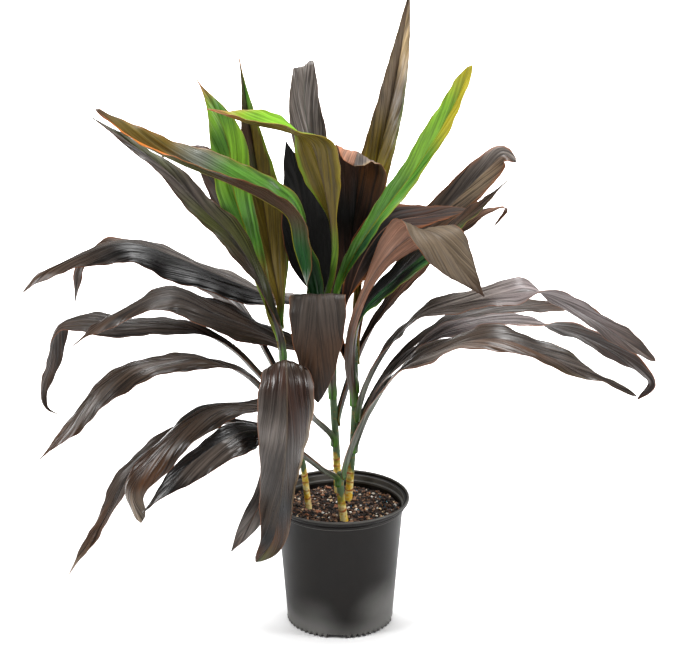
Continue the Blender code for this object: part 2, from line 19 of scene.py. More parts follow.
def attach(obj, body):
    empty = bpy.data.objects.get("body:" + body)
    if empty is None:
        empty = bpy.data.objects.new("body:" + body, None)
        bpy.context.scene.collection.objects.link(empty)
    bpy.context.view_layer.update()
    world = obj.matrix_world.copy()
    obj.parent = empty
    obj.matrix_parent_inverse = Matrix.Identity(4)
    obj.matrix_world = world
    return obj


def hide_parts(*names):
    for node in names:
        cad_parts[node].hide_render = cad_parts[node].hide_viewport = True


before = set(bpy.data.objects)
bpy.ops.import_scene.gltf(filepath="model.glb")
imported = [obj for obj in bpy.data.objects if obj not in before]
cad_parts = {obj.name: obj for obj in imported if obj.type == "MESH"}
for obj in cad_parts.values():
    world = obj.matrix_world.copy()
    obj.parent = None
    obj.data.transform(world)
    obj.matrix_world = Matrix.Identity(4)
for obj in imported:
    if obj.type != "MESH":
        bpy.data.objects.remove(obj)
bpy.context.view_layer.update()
print("nodes in the frame:", len(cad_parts))

# %% [markdown]
# ## Colours
#
# Blender's sockets take linear light, while the colours listed here are in display
# values.  One helper turns the one into the other, and the plant's colours get plain
# names, so that a leaf can be described as running from "slate" to "copper".

# %% Named colours
DISPLAY_GAMMA = 2.2
DISPLAY_COLOURS = {
    "bronze": (45, 36, 29), "maroon": (48, 32, 25), "slate": (56, 50, 46),
    "mist": (88, 82, 78), "stalk": (98, 102, 92), "black": (12, 10, 9),
    "umber": (60, 44, 33), "russet": (56, 34, 12), "rose": (126, 92, 75),
    "olive": (86, 73, 25), "moss": (58, 60, 32), "lime": (104, 148, 38),
    "green": (70, 114, 38), "deep": (30, 68, 36), "sheath": (64, 90, 56),
    "yellow": (152, 142, 36), "copper": (142, 82, 44), "orange": (182, 104, 38),
    "straw": (158, 136, 102), "tan": (90, 78, 64), "lilac": (102, 94, 94),
    "cream": (255, 242, 165), "gold": (255, 204, 54), "scar": (168, 88, 30),
    "rust": (168, 104, 36), "fibre": (110, 84, 40), "peat": (10, 7, 6),
    "cork": (62, 43, 32), "grime": (22, 16, 13), "pitch": (11, 8, 7),
    # The last two greys on the next line paint light on the pot: a painted floor reflection, then
    # painted highlights.
    "soot": (25, 21, 18), "reflection_grey": (118, 117, 114), "highlight_grey": (110, 108, 104),
}


def display(red, green, blue):
    """A display colour, 0 to 255, as linear light."""
    return Vector([(value / 255) ** DISPLAY_GAMMA for value in (red, green, blue)])


PALETTE = {name: display(*values) for name, values in DISPLAY_COLOURS.items()}
print("colours:", len(PALETTE))

# %% [markdown]
# ## Shader maths as plain expressions
#
# A material is a graph of nodes, and arithmetic in it soon hides the idea.  The small
# class below wraps one socket, so that `1 - mask * 0.5` adds its Math nodes by itself.
# Every other node comes from one method that takes its type, settings and inputs, and
# the nodes that come back in most materials have a short name of their own.

# %% A socket with arithmetic
class Wire:
    """One output socket whose arithmetic adds Math nodes."""

    def __init__(self, finish, socket):
        self.finish = finish
        self.socket = socket

    def maths(self, operation, *values):
        return self.finish.node("ShaderNodeMath", {"operation": operation},
                                dict(enumerate(values)))

    def root(self):
        return self.maths('SQRT', self)

    def __add__(self, other):
        return self.maths('ADD', self, other)

    def __sub__(self, other):
        return self.maths('SUBTRACT', self, other)

    def __rsub__(self, other):
        return self.maths('SUBTRACT', other, self)

    def __mul__(self, other):
        return self.maths('MULTIPLY', self, other)

    __radd__ = __add__
    __rmul__ = __mul__


# %% A material that makes its own nodes
class Finish:
    """A material under construction."""

    def __init__(self, name):
        self.material = bpy.data.materials.new(name)
        self.material.use_nodes = True
        self.tree = self.material.node_tree
        self.shader = self.tree.nodes["Principled BSDF"]

    def feed(self, socket, value):
        if isinstance(value, Wire):
            self.tree.links.new(value.socket, socket)
        else:
            socket.default_value = value

    def node(self, kind, settings=None, inputs=None, output=0):
        """Add a node, give it its settings, then its values or links."""
        made = self.tree.nodes.new(kind)
        for name, value in (settings or {}).items():
            setattr(made, name, value)
        for name, value in (inputs or {}).items():
            self.feed(made.inputs[name], value)
        return Wire(self, made.outputs[output])

    def place(self):
        """Where a point lies on its object, in metres."""
        return self.node("ShaderNodeTexCoord", output=3)

    def painted(self, name, output=0):
        """A colour that the mesh's points carry, or as output 1 a vector, as 3 the alpha."""
        return self.node("ShaderNodeAttribute", {"attribute_name": name}, output=output)

    def axes(self, vector):
        """The three numbers of a vector."""
        return [self.node("ShaderNodeSeparateXYZ", None, {"Vector": vector}, output=axis)
                for axis in range(3)]

    def stretched(self, vector, scale):
        return self.node("ShaderNodeMapping", None, {"Vector": vector, "Scale": scale})

    def clouds(self, vector, scale, detail=2.0, rough=0.5):
        """A noise value from 0 to 1."""
        return self.node("ShaderNodeTexNoise", None,
                         {"Vector": vector, "Scale": scale, "Detail": detail, "Roughness": rough})

    def between(self, value, low, high):
        """0 below low, 1 above high, and smooth between."""
        return self.node("ShaderNodeMapRange", {"interpolation_type": 'SMOOTHSTEP'},
                         {"Value": value, "From Min": low, "From Max": high})

    def mix(self, factor, first, second, blend='MIX'):
        """Blend two colours, each a wire or a plain one, with a Mix node's colour sockets."""
        first, second = (colour if isinstance(colour, Wire) else (*colour, 1.0)
                         for colour in (first, second))
        return self.node("ShaderNodeMix", {"data_type": 'RGBA', "blend_type": blend},
                         {0: factor, 6: first, 7: second}, output=2)

    def bumps(self, strength, distance, height):
        return self.node("ShaderNodeBump", None,
                         {"Strength": strength, "Distance": distance, "Height": height})

    def surface(self, **values):
        """Set the shader's own sockets by name, with _ for a space."""
        for name, value in values.items():
            self.feed(self.shader.inputs[name.replace("_", " ")], value)


# %% [markdown]
# ## Camera, floor and light
#
# The picture was taken from a little above, looking down by nearly nineteen degrees,
# with a long lens.  The lens is set from a focal length in pixels, because a measure
# taken in the picture then fixes it, whatever the sensor.  A pale floor runs up to a
# pale background, a large soft panel hangs over the left shoulder of the camera, and a
# weaker one fills in from the right.  Both are area lamps, since a lamp's own size sets
# how soft the gloss on a leaf looks.

# %% The camera
CAMERA_PLACE = (0, -3.5, 1.70)
CAMERA_PITCH = 18.7
FOCAL_PIXELS = 2285
IMAGE_WIDTH = 678
SHIFT_PIXELS = -1
SENSOR = 36


def in_scene(name, data):
    """A new object that shows in the scene."""
    item = bpy.data.objects.new(name, data)
    bpy.context.scene.collection.objects.link(item)
    return item


lens = bpy.data.cameras.new("camera")
lens.sensor_width = SENSOR
lens.sensor_fit = 'HORIZONTAL'
lens.lens = FOCAL_PIXELS * SENSOR / IMAGE_WIDTH
lens.shift_x = SHIFT_PIXELS / IMAGE_WIDTH
camera = in_scene("camera", lens)
camera.location = CAMERA_PLACE
camera.rotation_euler = (math.radians(90 - CAMERA_PITCH), 0, 0)
bpy.context.scene.camera = camera
print("lens, mm:", round(lens.lens, 1))


# %% The floor and the background
FLOOR_SIZE = 14
PAPER_COLOUR = (0.94, 0.94, 0.94, 1.0)
PAPER_ROUGHNESS = 0.9
BACKDROP_COLOUR = (1.0, 1.0, 1.0, 1.0)
BACKDROP_STRENGTH = 0.34


def mesh_of(name, bm):
    """Turn a bmesh into a mesh and free it."""
    mesh = bpy.data.meshes.new(name)
    bm.to_mesh(mesh)
    bm.free()
    return mesh


paper = Finish("pale_paper")
paper.surface(Base_Color=PAPER_COLOUR, Roughness=PAPER_ROUGHNESS)
floor_bm = bmesh.new()
bmesh.ops.create_grid(floor_bm, x_segments=1, y_segments=1, size=FLOOR_SIZE)
floor = in_scene("floor", mesh_of("floor", floor_bm))
floor.data.materials.append(paper.material)

world = bpy.data.worlds.new("studio")
world.use_nodes = True
backdrop = world.node_tree.nodes["Background"]
backdrop.inputs["Color"].default_value = BACKDROP_COLOUR
backdrop.inputs["Strength"].default_value = BACKDROP_STRENGTH
bpy.context.scene.world = world
bpy.context.scene.view_settings.view_transform = 'Standard'
print("floor, m:", 2 * FLOOR_SIZE)

# %% The lights
Lamp = namedtuple("Lamp", "name place aim size power spread", defaults=(180,))
LAMPS = (
    Lamp("left_panel", (-2.5, -1.2, 1.9), (0, 0, 0.5), 1.0, 84),
    Lamp("right_panel", (2.7, -0.8, 1.6), (0, 0, 0.5), 0.8, 56),
    Lamp("overhead", (0.2, 0.2, 3.2), (0, 0, 0.5), 1.3, 104),
    Lamp("backdrop_light", (0, 4.3, 5), (0, 4.3, 0), 5.4, 520, 70),
)
for row in LAMPS:
    lamp = bpy.data.lights.new(row.name, 'AREA')
    lamp.size = row.size
    lamp.energy = row.power
    lamp.spread = math.radians(row.spread)
    light = in_scene(row.name, lamp)
    light.location = row.place
    towards = Vector(row.aim) - Vector(row.place)
    light.rotation_euler = towards.to_track_quat('-Z', 'Y').to_euler()
print("lights:", len(LAMPS))


# %% [markdown]
# ## From bmesh to a riding piece
#
# Every piece is modelled in millimetres, scaled to metres, shaded smooth and tied to
# the plant's one rigid body.  The same helper names the imported solid that it stands
# for, and hides it.

# %% One helper to finish a piece
MM = 0.001


def piece(name, bm, materials, stands_for=(), smooth_angle=50):
    """Turn a bmesh in millimetres into a finished object that rides on the plant."""
    bmesh.ops.scale(bm, vec=(MM, MM, MM), verts=bm.verts)
    mesh = mesh_of(name, bm)
    mesh.shade_smooth()
    mesh.set_sharp_from_angle(angle=math.radians(smooth_angle))
    for material in materials:
        mesh.materials.append(material)
    item = in_scene(name, mesh)
    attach(item, "root")
    if stands_for:
        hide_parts(*stands_for)
    print(name, "faces:", len(mesh.polygons))
    return item


# %% [markdown]
# ## The pot
#
# A thin moulded tub: a rolled lip, a stepped neck with a fine ridge, a plain taper wall
# and a foot of small round lobes.  Its outline is a chain of points whose corners are
# rounded with a bevel, then spun round the axis.  Drain holes and slots are cut with a
# Boolean, because they cross the spun shape at places of their own.

# %% The pot's measures
GAP = 0.35
POT_SEGMENTS = 336
POT_HEIGHT = 220
RIM_RADIUS = 115
NECK_RADIUS = 107.6
NECK_STEP = 1.5
NECK_RIDGE = ((0, 4), (0.9, 5), (0.9, 6), (0, 7))
WALL_TOP = (104.4, 201.5)
WALL_FOOT = (88, 3)
WALL_START = (88.5, 8.5)
WALL = 1.8
LIP_HEIGHT = 8
LIP_WIDTH = 3.8
LIP_ROUND = 1.5
LIP_CURVE = ((2.6, 0), (0.8, 1.4), (0, 3.4))
LIP_UNDERCUT = 0.5
LIP_SHOULDERS = (1.2, 1)
LIP_LEAN = 0.6
LEDGE_RISES = (2.2, 1.6)
INNER_STEP = (3, 4)
CORNER_ROUND = 0.5
FLOOR = 5.8
PAD_RADIUS = 20
FOOT_RING = (80, 86)
CHANNEL_HEIGHT = 4
CHANNEL_SIDES = (3, 4)
DRAIN_HOLES = 6
DRAIN_RADIUS = 6
DRAIN_CIRCLE = 58
SLOT_COUNT = 4
SLOT_SIZE = (14, 28, 14)
SLOT_TURN = 265
NEAR = 1


def pot_profile():
    """From the middle of the base round under the lip and back down inside."""
    wall_radius, wall_height = WALL_TOP
    inner, outer = FOOT_RING
    lip_bottom = POT_HEIGHT - LIP_HEIGHT
    lip_inside = RIM_RADIUS - LIP_WIDTH
    neck_inside = NECK_RADIUS - WALL
    base = [(0, 0), (PAD_RADIUS, 0), (PAD_RADIUS + CHANNEL_SIDES[0], CHANNEL_HEIGHT),
            (inner - CHANNEL_SIDES[1], CHANNEL_HEIGHT), (inner, 0), (outer, 0)]
    outside = [WALL_FOOT, WALL_START, WALL_TOP, (NECK_RADIUS, wall_height + NECK_STEP)]
    outside += [(NECK_RADIUS + out, wall_height + rise) for out, rise in NECK_RIDGE]
    outside.append((NECK_RADIUS, lip_bottom - LIP_UNDERCUT))
    lip = [(RIM_RADIUS - back, lip_bottom + rise) for back, rise in LIP_CURVE]
    lip += [(RIM_RADIUS, POT_HEIGHT - LIP_ROUND), (RIM_RADIUS - LIP_SHOULDERS[0], POT_HEIGHT),
            (lip_inside + LIP_SHOULDERS[1], POT_HEIGHT), (lip_inside, POT_HEIGHT - LIP_ROUND)]
    inside = [(lip_inside - LIP_LEAN, lip_bottom + LEDGE_RISES[0]),
              (neck_inside, lip_bottom + LEDGE_RISES[1]),
              (neck_inside, wall_height + INNER_STEP[1]),
              (wall_radius - WALL, wall_height + INNER_STEP[0]),
              (WALL_FOOT[0] - WALL, FLOOR), (0, FLOOR)]
    return base + outside + lip + inside


print("points in the pot's outline:", len(pot_profile()))


# %% Spin an outline, and cut the holes
BEVEL_PARTS = 3
WELD = 0.001
DRAIN_SIDES = 32


def turned(profile, segments, rounding=0.0):
    """Spin an outline of (radius, height) points whose ends lie on the axis."""
    bm = bmesh.new()
    verts = [bm.verts.new((radius, 0, height)) for radius, height in profile]
    for pair in zip(verts, verts[1:]):
        bm.edges.new(pair)
    if rounding:
        corners = verts[1:-1]
        bmesh.ops.bevel(bm, geom=corners, offset=rounding, segments=BEVEL_PARTS,
                        profile=0.5, affect='VERTICES', clamp_overlap=True, material=-1)
    bmesh.ops.spin(bm, geom=list(bm.verts) + list(bm.edges), cent=(0, 0, 0), axis=(0, 0, 1),
                   angle=math.tau, steps=segments, use_merge=True)
    bmesh.ops.remove_doubles(bm, verts=bm.verts, dist=WELD)
    bmesh.ops.recalc_face_normals(bm, faces=bm.faces)
    return bm


def pot_cutter():
    """Upright rods for the drain holes and blocks for the slots in the foot."""
    bm = bmesh.new()
    for number in range(DRAIN_HOLES):
        turn = Matrix.Rotation(math.tau * (number + 0.5) / DRAIN_HOLES, 4, 'Z')
        place = turn @ Matrix.Translation((DRAIN_CIRCLE, 0, CHANNEL_HEIGHT))
        bmesh.ops.create_cone(bm, cap_ends=True, segments=DRAIN_SIDES, radius1=DRAIN_RADIUS,
                              radius2=DRAIN_RADIUS, depth=3 * CHANNEL_HEIGHT, matrix=place)
    for number in range(SLOT_COUNT):
        angle = math.radians(SLOT_TURN) + math.tau * number / SLOT_COUNT
        turn = Matrix.Rotation(angle, 4, 'Z')
        place = turn @ Matrix.Translation((FOOT_RING[1] - NEAR, 0, 0))
        bmesh.ops.create_cube(bm, size=1, matrix=place @ Matrix.Diagonal((*SLOT_SIZE, 1)))
    bmesh.ops.scale(bm, vec=(MM, MM, MM), verts=bm.verts)
    return in_scene("drain_cutter", mesh_of("drain_cutter", bm))


def apply_cut(item, cutter):
    """Cut one mesh by another for good, and drop the cutter."""
    boolean = item.modifiers.new("cut", 'BOOLEAN')
    boolean.operation = 'DIFFERENCE'
    boolean.object = cutter
    depsgraph = bpy.context.evaluated_depsgraph_get()
    finished = bpy.data.meshes.new_from_object(item.evaluated_get(depsgraph))
    item.modifiers.clear()
    item.data = finished
    bpy.data.objects.remove(cutter, do_unlink=True)


print("holes and slots to cut:", DRAIN_HOLES + SLOT_COUNT)


# %% [markdown]
# ### Black moulded plastic
#
# Nursery pots are matt to satin, with a faint pebble and handling marks.  A slow noise
# on the roughness breaks up the soft reflection, and a fine one gives the skin its
# grain.  A painted reflection of the pale floor lightens the wall near its foot, most
# of all at two round marks.  Painted highlights pale the neck's step and the lip, and
# the inner wall above its ledge is painted paler.  The bands are heights in metres, and
# the inner wall is told from the outer one by the square of its radius.

# %% The plastic
Mark = namedtuple("Mark", "strength sideways height radius")
REFLECTION_MARKS = (Mark(0.75, 0.078, 0.038, 0.07), Mark(0.36, -0.045, 0.028, 0.055))
REFLECTION_FOOT = (0.018, 0.055)
STEP_HIGHLIGHT = (0.2005, 0.2015)
ABOVE_STEP = (0.2032, 0.2042)
LIP_HIGHLIGHT = (0.2166, 0.2186)
INSIDE_SQUARED = (0.01125, 0.0115)
SCUFF_SCALE = 22
DRIFT_SCALE = 9
GRAIN_SCALE = 900

plastic = Finish("pot_plastic")
place = plastic.place()
sideways, forwards, height = plastic.axes(place)
scuff = plastic.clouds(place, SCUFF_SCALE, detail=4)
drift = plastic.clouds(place, DRIFT_SCALE, detail=1)
grain = plastic.clouds(place, GRAIN_SCALE, detail=1)


def reflection_spot(mark):
    """A round painted reflection on the wall, its edge broken by noise."""
    aside, above = sideways - mark.sideways, height - mark.height
    away = (aside * aside + above * above).root() + 0.02 * (scuff - 0.5)
    return 1 - plastic.between(away, 0.0, mark.radius)


# Painted reflection of the pale floor: paler low on the wall, most of all at two round marks.
floor_reflection = 0.5 * (1 - plastic.between(height + 0.03 * drift, *REFLECTION_FOOT))
for mark in REFLECTION_MARKS:
    floor_reflection = floor_reflection + mark.strength * reflection_spot(mark)
above_step = plastic.between(height, *ABOVE_STEP)
reach = sideways * sideways + forwards * forwards
# The inner wall above its ledge is painted paler with the same grey.
inside = (1 - plastic.between(reach, *INSIDE_SQUARED)) * above_step
# Painted highlights: a pale line along the neck's step and a pale band on top of the lip.
step = plastic.between(height, *STEP_HIGHLIGHT) - above_step
lip_highlight = plastic.between(height, *LIP_HIGHLIGHT)
black = plastic.mix(scuff, PALETTE["pitch"], PALETTE["soot"])
with_reflection = plastic.mix(floor_reflection * 0.75 + inside * 0.5, black, PALETTE["reflection_grey"])
plastic.surface(
    Base_Color=plastic.mix(0.45 * lip_highlight + 0.3 * step, with_reflection, PALETTE["highlight_grey"]),
    Roughness=0.42 + scuff * 0.14 - 0.12 * lip_highlight,
    Specular_IOR_Level=0.2,
    Normal=plastic.bumps(0.12, 0.0003, grain))
print("nodes in the plastic:", len(plastic.tree.nodes))

# %% The pot, with its lobed foot
LOBES = 56
LOBE_BULGE = 1.4
LOBE_ROUND = 0.7
SCALLOP_DEPTH = 5

pot_bm = turned(pot_profile(), POT_SEGMENTS, CORNER_ROUND)
for vert in pot_bm.verts:
    radius = math.hypot(vert.co.x, vert.co.y)
    on_ring = FOOT_RING[0] - NEAR < radius < WALL_FOOT[0] + NEAR
    if on_ring and vert.co.z < CHANNEL_HEIGHT:
        lobe = abs(math.sin(LOBES / 2 * math.atan2(vert.co.y, vert.co.x)))
        vert.co.z += SCALLOP_DEPTH * (1 - lobe) ** LOBE_ROUND
        if radius > FOOT_RING[1] - NEAR:
            vert.co.xy *= 1 + LOBE_BULGE * lobe / radius
pot = piece("nursery_pot", pot_bm, [plastic.material], ["pot"], smooth_angle=35)
apply_cut(pot, pot_cutter())
print("pot faces after the cut:", len(pot.data.polygons))

# %% [markdown]
# ## Routes that bend smoothly
#
# Canes and leaves follow a few points in space.  A curve with Bezier handles would
# bend through them too, but every handle has to be set.  A centripetal curve needs only
# the points and makes no loops, so a stem drawn with five of them still looks grown.

# %% A smooth curve through a few points
def centripetal(t, knots, points):
    level = list(points)
    for depth in (1, 2):
        for index in range(4 - depth):
            low, high = knots[index], knots[index + depth]
            share = (t - low) / (high - low)
            level[index] = level[index] * (1 - share) + level[index + 1] * share
    share = (t - knots[1]) / (knots[2] - knots[1])
    return level[0] * (1 - share) + level[1] * share


def smooth_route(points, spans):
    """Each stretch between two points, cut into as many parts as its span says."""
    padded = [points[0] * 2 - points[1], *points, points[-1] * 2 - points[-2]]
    curve = [points[0]]
    for index, count in enumerate(spans):
        a, b, c, d = padded[index:index + 4]
        knots = [0.0]
        for start, end in ((a, b), (b, c), (c, d)):
            knots.append(knots[-1] + math.sqrt((end - start).length))
        for step in range(1, count + 1):
            t = knots[1] + (knots[2] - knots[1]) * step / count
            curve.append(centripetal(t, knots, (a, b, c, d)))
    return curve


def at_height(line, height):
    """The point and the direction of a line where it passes one height."""
    for low, high in zip(line, line[1:]):
        if low.z <= height <= high.z:
            share = (height - low.z) / (high.z - low.z)
            return low.lerp(high, share), (high - low).normalized()
    return line[-1], (line[-1] - line[-2]).normalized()


trial = smooth_route([Vector((0, 0, 0)), Vector((0, 0, 9)), Vector((9, 0, 9))], [4, 4])
print("points on a trial bend:", len(trial))


# %% [markdown]
# ## The canes
#
# A ti plant drops its old leaves and keeps a ring-shaped scar for each.  Low down the
# cane is cream to yellow with brown rings; where the leaves still stand it is green.
# A curve with a bevel would give a smooth tube, but no scars.  So each cane is a grid
# wrapped into a tube, whose points know their height and rise to small ridges.

# %% The canes' measures
Cane = namedtuple("Cane", "name foot_radius top_radius route lowest_leaf")
CANES = (
    Cane("left", 5.2, 4.6,
         ((-52, 5, 195), (-61, 0, 274), (-82, -10, 392), (-92, -14, 480), (-98, -15, 522)), 285),
    Cane("front", 6.6, 5.8,
         ((7, -45, 195), (2, -47, 231), (0, -49, 282)), 258),
    Cane("right", 6.3, 5.4,
         ((14, 40, 195), (18, 42, 248), (22, 44, 301), (25, 46, 389), (23, 49, 466)), 270),
    Cane("back", 6.5, 5.6,
         ((-3, 75, 195), (-7, 74, 289), (-11, 71, 362), (-11, 66, 452), (-11, 62, 524)), 280),
)
PARTS_PER_SPAN = 6
BURIED = 85


def cane_line(cane):
    """The cane's middle as closely spaced points, with its buried end added."""
    points = [Vector(point) for point in cane.route]
    curve = smooth_route(points, [PARTS_PER_SPAN] * (len(points) - 1))
    down = (points[0] - points[1]).normalized()
    return [curve[0] + down * BURIED] + curve


def cane_radius(cane, height):
    """A cane tapers evenly from the soil to its top."""
    foot, top = cane.route[0][2], cane.route[-1][2]
    share = max(height - foot, 0) / (top - foot)
    return cane.foot_radius + (cane.top_radius - cane.foot_radius) * share


for cane in CANES:
    print(cane.name, "cane top, mm:", cane.route[-1][2])

# %% [markdown]
# ### Bark of a ti cane
#
# The rings are painted as a colour on the mesh's points, where their height is known,
# and the material adds fine lengthwise fibres and uneven weathering over it.  Two
# easing helpers come first: every soft change of colour or shape here uses them.

# %% Easing helpers and the canes' material
def ease(value, low=0.0, high=1.0):
    """0 up to low, 1 from high on, and smooth between."""
    share = min(max((value - low) / (high - low), 0.0), 1.0)
    return share * share * (3 - 2 * share)


def towards_colour(first, second, share):
    return first.lerp(second, ease(share))


FIBRE_STRETCH = (1, 1, 0.12)
FIBRE_SCALE = 700
MOTTLE_SCALE = 160
WEATHERED_BAND = (0.55, 0.72)

stem = Finish("cane_skin")
place = stem.place()
fibre = stem.clouds(stem.stretched(place, FIBRE_STRETCH), FIBRE_SCALE, detail=3)
mottle = stem.clouds(place, MOTTLE_SCALE, detail=3)
weathered = stem.mix(stem.between(mottle, *WEATHERED_BAND) * 0.3,
                     stem.painted("tint"), PALETTE["rust"])
stem.surface(
    Base_Color=stem.mix(fibre * 0.1, weathered, PALETTE["fibre"]),
    Roughness=0.48 + mottle * 0.2,
    Normal=stem.bumps(0.4, 0.0004, fibre))
print("nodes in the canes' skin:", len(stem.tree.nodes))


# %% The rings of a cane, and its colours
RING_PITCH = 14
RING_WIDTH = 2.5
RING_HEIGHT = 0.5
RING_WOBBLE = 1.6
WOBBLE_TURN = 0.31
FIRST_RING = 20
PATCH_SIZE = 9
SPECK_SIZE = 3.5
YELLOW_SIZE = 7
GREEN_STARTS = 24
GREEN_UNEVEN = 26
GREEN_FADE = 14


def ring_shape(height, cane):
    """How far the cane stands out at one height, and how scarred it is there."""
    place = height - cane.route[0][2] - FIRST_RING
    if place < -RING_WIDTH or height > cane.lowest_leaf - RING_WIDTH:
        return 0.0, 0.0
    past = (place + RING_WIDTH) % RING_PITCH - RING_WIDTH
    if past <= 0:
        share = 1 + past / RING_WIDTH
    else:
        share = max(0.0, 1 - past / (0.5 * RING_WIDTH))
    return RING_HEIGHT * share, share


def cane_colour(cane, spot, height, scarred):
    """Cream and gold with yellow patches, brown at the scars, green among the leaves."""
    patch = noise.noise(Vector((spot.x, spot.y, spot.z * 0.6)) / PATCH_SIZE)
    speck = noise.noise(spot / SPECK_SIZE)
    greening = (height - cane.lowest_leaf + GREEN_STARTS + GREEN_UNEVEN * patch) / GREEN_FADE
    colour = towards_colour(PALETTE["cream"], PALETTE["gold"], 0.5 + 1.2 * patch + 0.9 * speck)
    yellow = 0.9 * noise.noise(spot / YELLOW_SIZE) + 0.35 * greening + 0.7
    colour = towards_colour(colour, PALETTE["yellow"], yellow)
    brown = 1.1 * scarred + 0.5 * max(0.0, -patch) + 0.5 * max(0.0, speck)
    colour = towards_colour(colour, PALETTE["scar"], brown)
    return towards_colour(colour, PALETTE["sheath"], greening)


for cane in CANES:
    ringed = cane.lowest_leaf - RING_WIDTH - cane.route[0][2] - FIRST_RING
    print(cane.name, "cane, rings:", int(ringed / RING_PITCH) + 1)


# %% Wrap a grid into each cane
CANE_SIDES = 28
CANE_STEP = 1.2
ROUND_END = 3
SEAM = 0.01


def make_cane(cane):
    """Wrap a flat grid round the cane's line, painted point by point."""
    line = cane_line(cane)
    top = cane.route[-1][2]
    bottom = line[0].z
    rows = int((top - bottom) / CANE_STEP)
    bm = bmesh.new()
    bmesh.ops.create_grid(bm, x_segments=CANE_SIDES, y_segments=rows, size=1)
    tint = bm.verts.layers.float_color.new("tint")
    for vert in bm.verts:
        angle = math.pi * vert.co.x
        height = bottom + (top - bottom) * (vert.co.y + 1) / 2
        middle, up = at_height(line, height)
        wobble = RING_WOBBLE * math.sin(angle + height * WOBBLE_TURN)
        bump, scarred = ring_shape(height + wobble, cane)
        side = Vector((0, 1, 0)).cross(up).normalized()
        front = up.cross(side)
        radius = cane_radius(cane, height) + bump
        end = top - height
        if end < ROUND_END:
            radius *= math.sqrt(max(0.0, 1 - (1 - end / ROUND_END) ** 2)) * 0.5 + 0.5
        vert.co = middle + (side * math.cos(angle) + front * math.sin(angle)) * radius
        vert[tint] = (*cane_colour(cane, vert.co, height, scarred), 1.0)
    bmesh.ops.remove_doubles(bm, verts=bm.verts, dist=SEAM)
    bmesh.ops.holes_fill(bm, edges=bm.edges, sides=0)
    bmesh.ops.recalc_face_normals(bm, faces=bm.faces)
    piece("stem_" + cane.name, bm, [stem.material], ["cane_" + cane.name])


for cane in CANES:
    make_cane(cane)

# %% [markdown]
# ## The potting mix
#
# Bark mix is a heap of small dark chips, with white perlite and coloured prills of
# slow fertiliser.  Bump in a material would leave the heap flat when seen from low down.
# So a lumpy bed carries some 2,500 loose pieces, each a small box or ball pulled out of
# shape, and the surface casts its own fine shadows.

# %% The bed of the mix
SOIL_TOP = 195
SOIL_LUMP = 3.2
SOIL_LUMP_SIZE = 17
FINE_LUMPS = 2.7
FINE_SHIFT = Vector((4, 9, 2))
SOIL_RINGS = 40
SOIL_SEGMENTS = 120
SOIL_EDGE = 2
CRUMB_HEIGHT = 0.8
CRUMB_SIZE = 3.1
CRUMB_SCALE = 260


def soil_height(x, y):
    """Coarse lumps from a fixed noise field, with finer ones on top."""
    place = Vector((x, y, 0)) / SOIL_LUMP_SIZE
    fine = noise.noise(place * FINE_LUMPS + FINE_SHIFT)
    return SOIL_TOP + SOIL_LUMP * (noise.noise(place) + 0.5 * fine)


def wall_inside(height):
    """Radius of the pot's inner wall at one height."""
    high_radius, high = WALL_TOP
    share = (height - FLOOR) / (high + INNER_STEP[0] - FLOOR)
    return WALL_FOOT[0] - WALL + share * (high_radius - WALL_FOOT[0])


bark = Finish("bark_bed")
crumb = bark.clouds(bark.place(), CRUMB_SCALE, detail=5, rough=0.65)
bark.surface(
    Base_Color=bark.mix(crumb, PALETTE["peat"], PALETTE["cork"]),
    Roughness=0.95,
    Normal=bark.bumps(0.9, 0.002, crumb))

bed_radius = wall_inside(SOIL_TOP - SOIL_EDGE) - GAP
bed_bottom = FLOOR + GAP
bed_profile = [(0, bed_bottom), (wall_inside(bed_bottom) - 2 * GAP, bed_bottom),
               (bed_radius, SOIL_TOP - SOIL_EDGE)]
bed_profile += [(bed_radius * (1 - ring / SOIL_RINGS), SOIL_TOP) for ring in range(1, SOIL_RINGS)]
bed_profile.append((0, SOIL_TOP))
bed_bm = turned(bed_profile, SOIL_SEGMENTS)
for vert in bed_bm.verts:
    if vert.co.z > SOIL_TOP - NEAR:
        rough = CRUMB_HEIGHT * noise.noise(vert.co / CRUMB_SIZE)
        vert.co.z = soil_height(vert.co.x, vert.co.y) + rough - CRUMB_HEIGHT
piece("bark_bed", bed_bm, [bark.material], ["soil"], smooth_angle=180)


# %% [markdown]
# ### Loose chips, perlite and prills
#
# Each kind is one mesh made of many small shapes, because thousands of objects would
# be slow to draw and to list.  A seeded random stream places them on the bed, away from
# the canes, so the heap is the same in every run.

# %% The kinds of crumb, and where they may lie
Kind = namedtuple("Kind", "name count small large flat colours shape")
KINDS = (
    Kind("bark_chips", 2300, 1.3, 4.4, 0.45,
         ((26, 19, 16), (48, 35, 28), (92, 66, 50), (16, 13, 12), (146, 110, 84)), "chip"),
    Kind("bark_slabs", 24, 4, 7.5, 0.3,
         ((150, 96, 66), (126, 78, 52), (92, 62, 46), (170, 128, 96)), "chip"),
    Kind("perlite", 135, 0.9, 3.2, 0.8,
         ((250, 246, 236), (232, 222, 204), (238, 204, 160)), "bead"),
    Kind("prills", 70, 0.9, 1.4, 1.0,
         ((60, 130, 170), (90, 170, 200), (60, 110, 150), (210, 130, 50)), "bead"),
)
FIRST_SEED = 3
FROM_WALL = 3
FROM_CANE = 10


def clear_spot(stream):
    """A place on the bed that no cane stands in."""
    while True:
        angle = stream.uniform(0, math.tau)
        radius = (bed_radius - FROM_WALL) * math.sqrt(stream.random())
        x, y = radius * math.cos(angle), radius * math.sin(angle)
        gaps = [math.hypot(x - cane.route[0][0], y - cane.route[0][1]) for cane in CANES]
        if min(gaps) > FROM_CANE:
            return x, y


print("loose pieces:", sum(kind.count for kind in KINDS))


# %% Scatter small shapes over the bed
TILT = 0.6
SLIMMEST = 0.45
LIFT = 0.25
CHIP_SIDE = 1.2
OUT_OF_SHAPE = 0.13
GRIT_SCALE = 1300


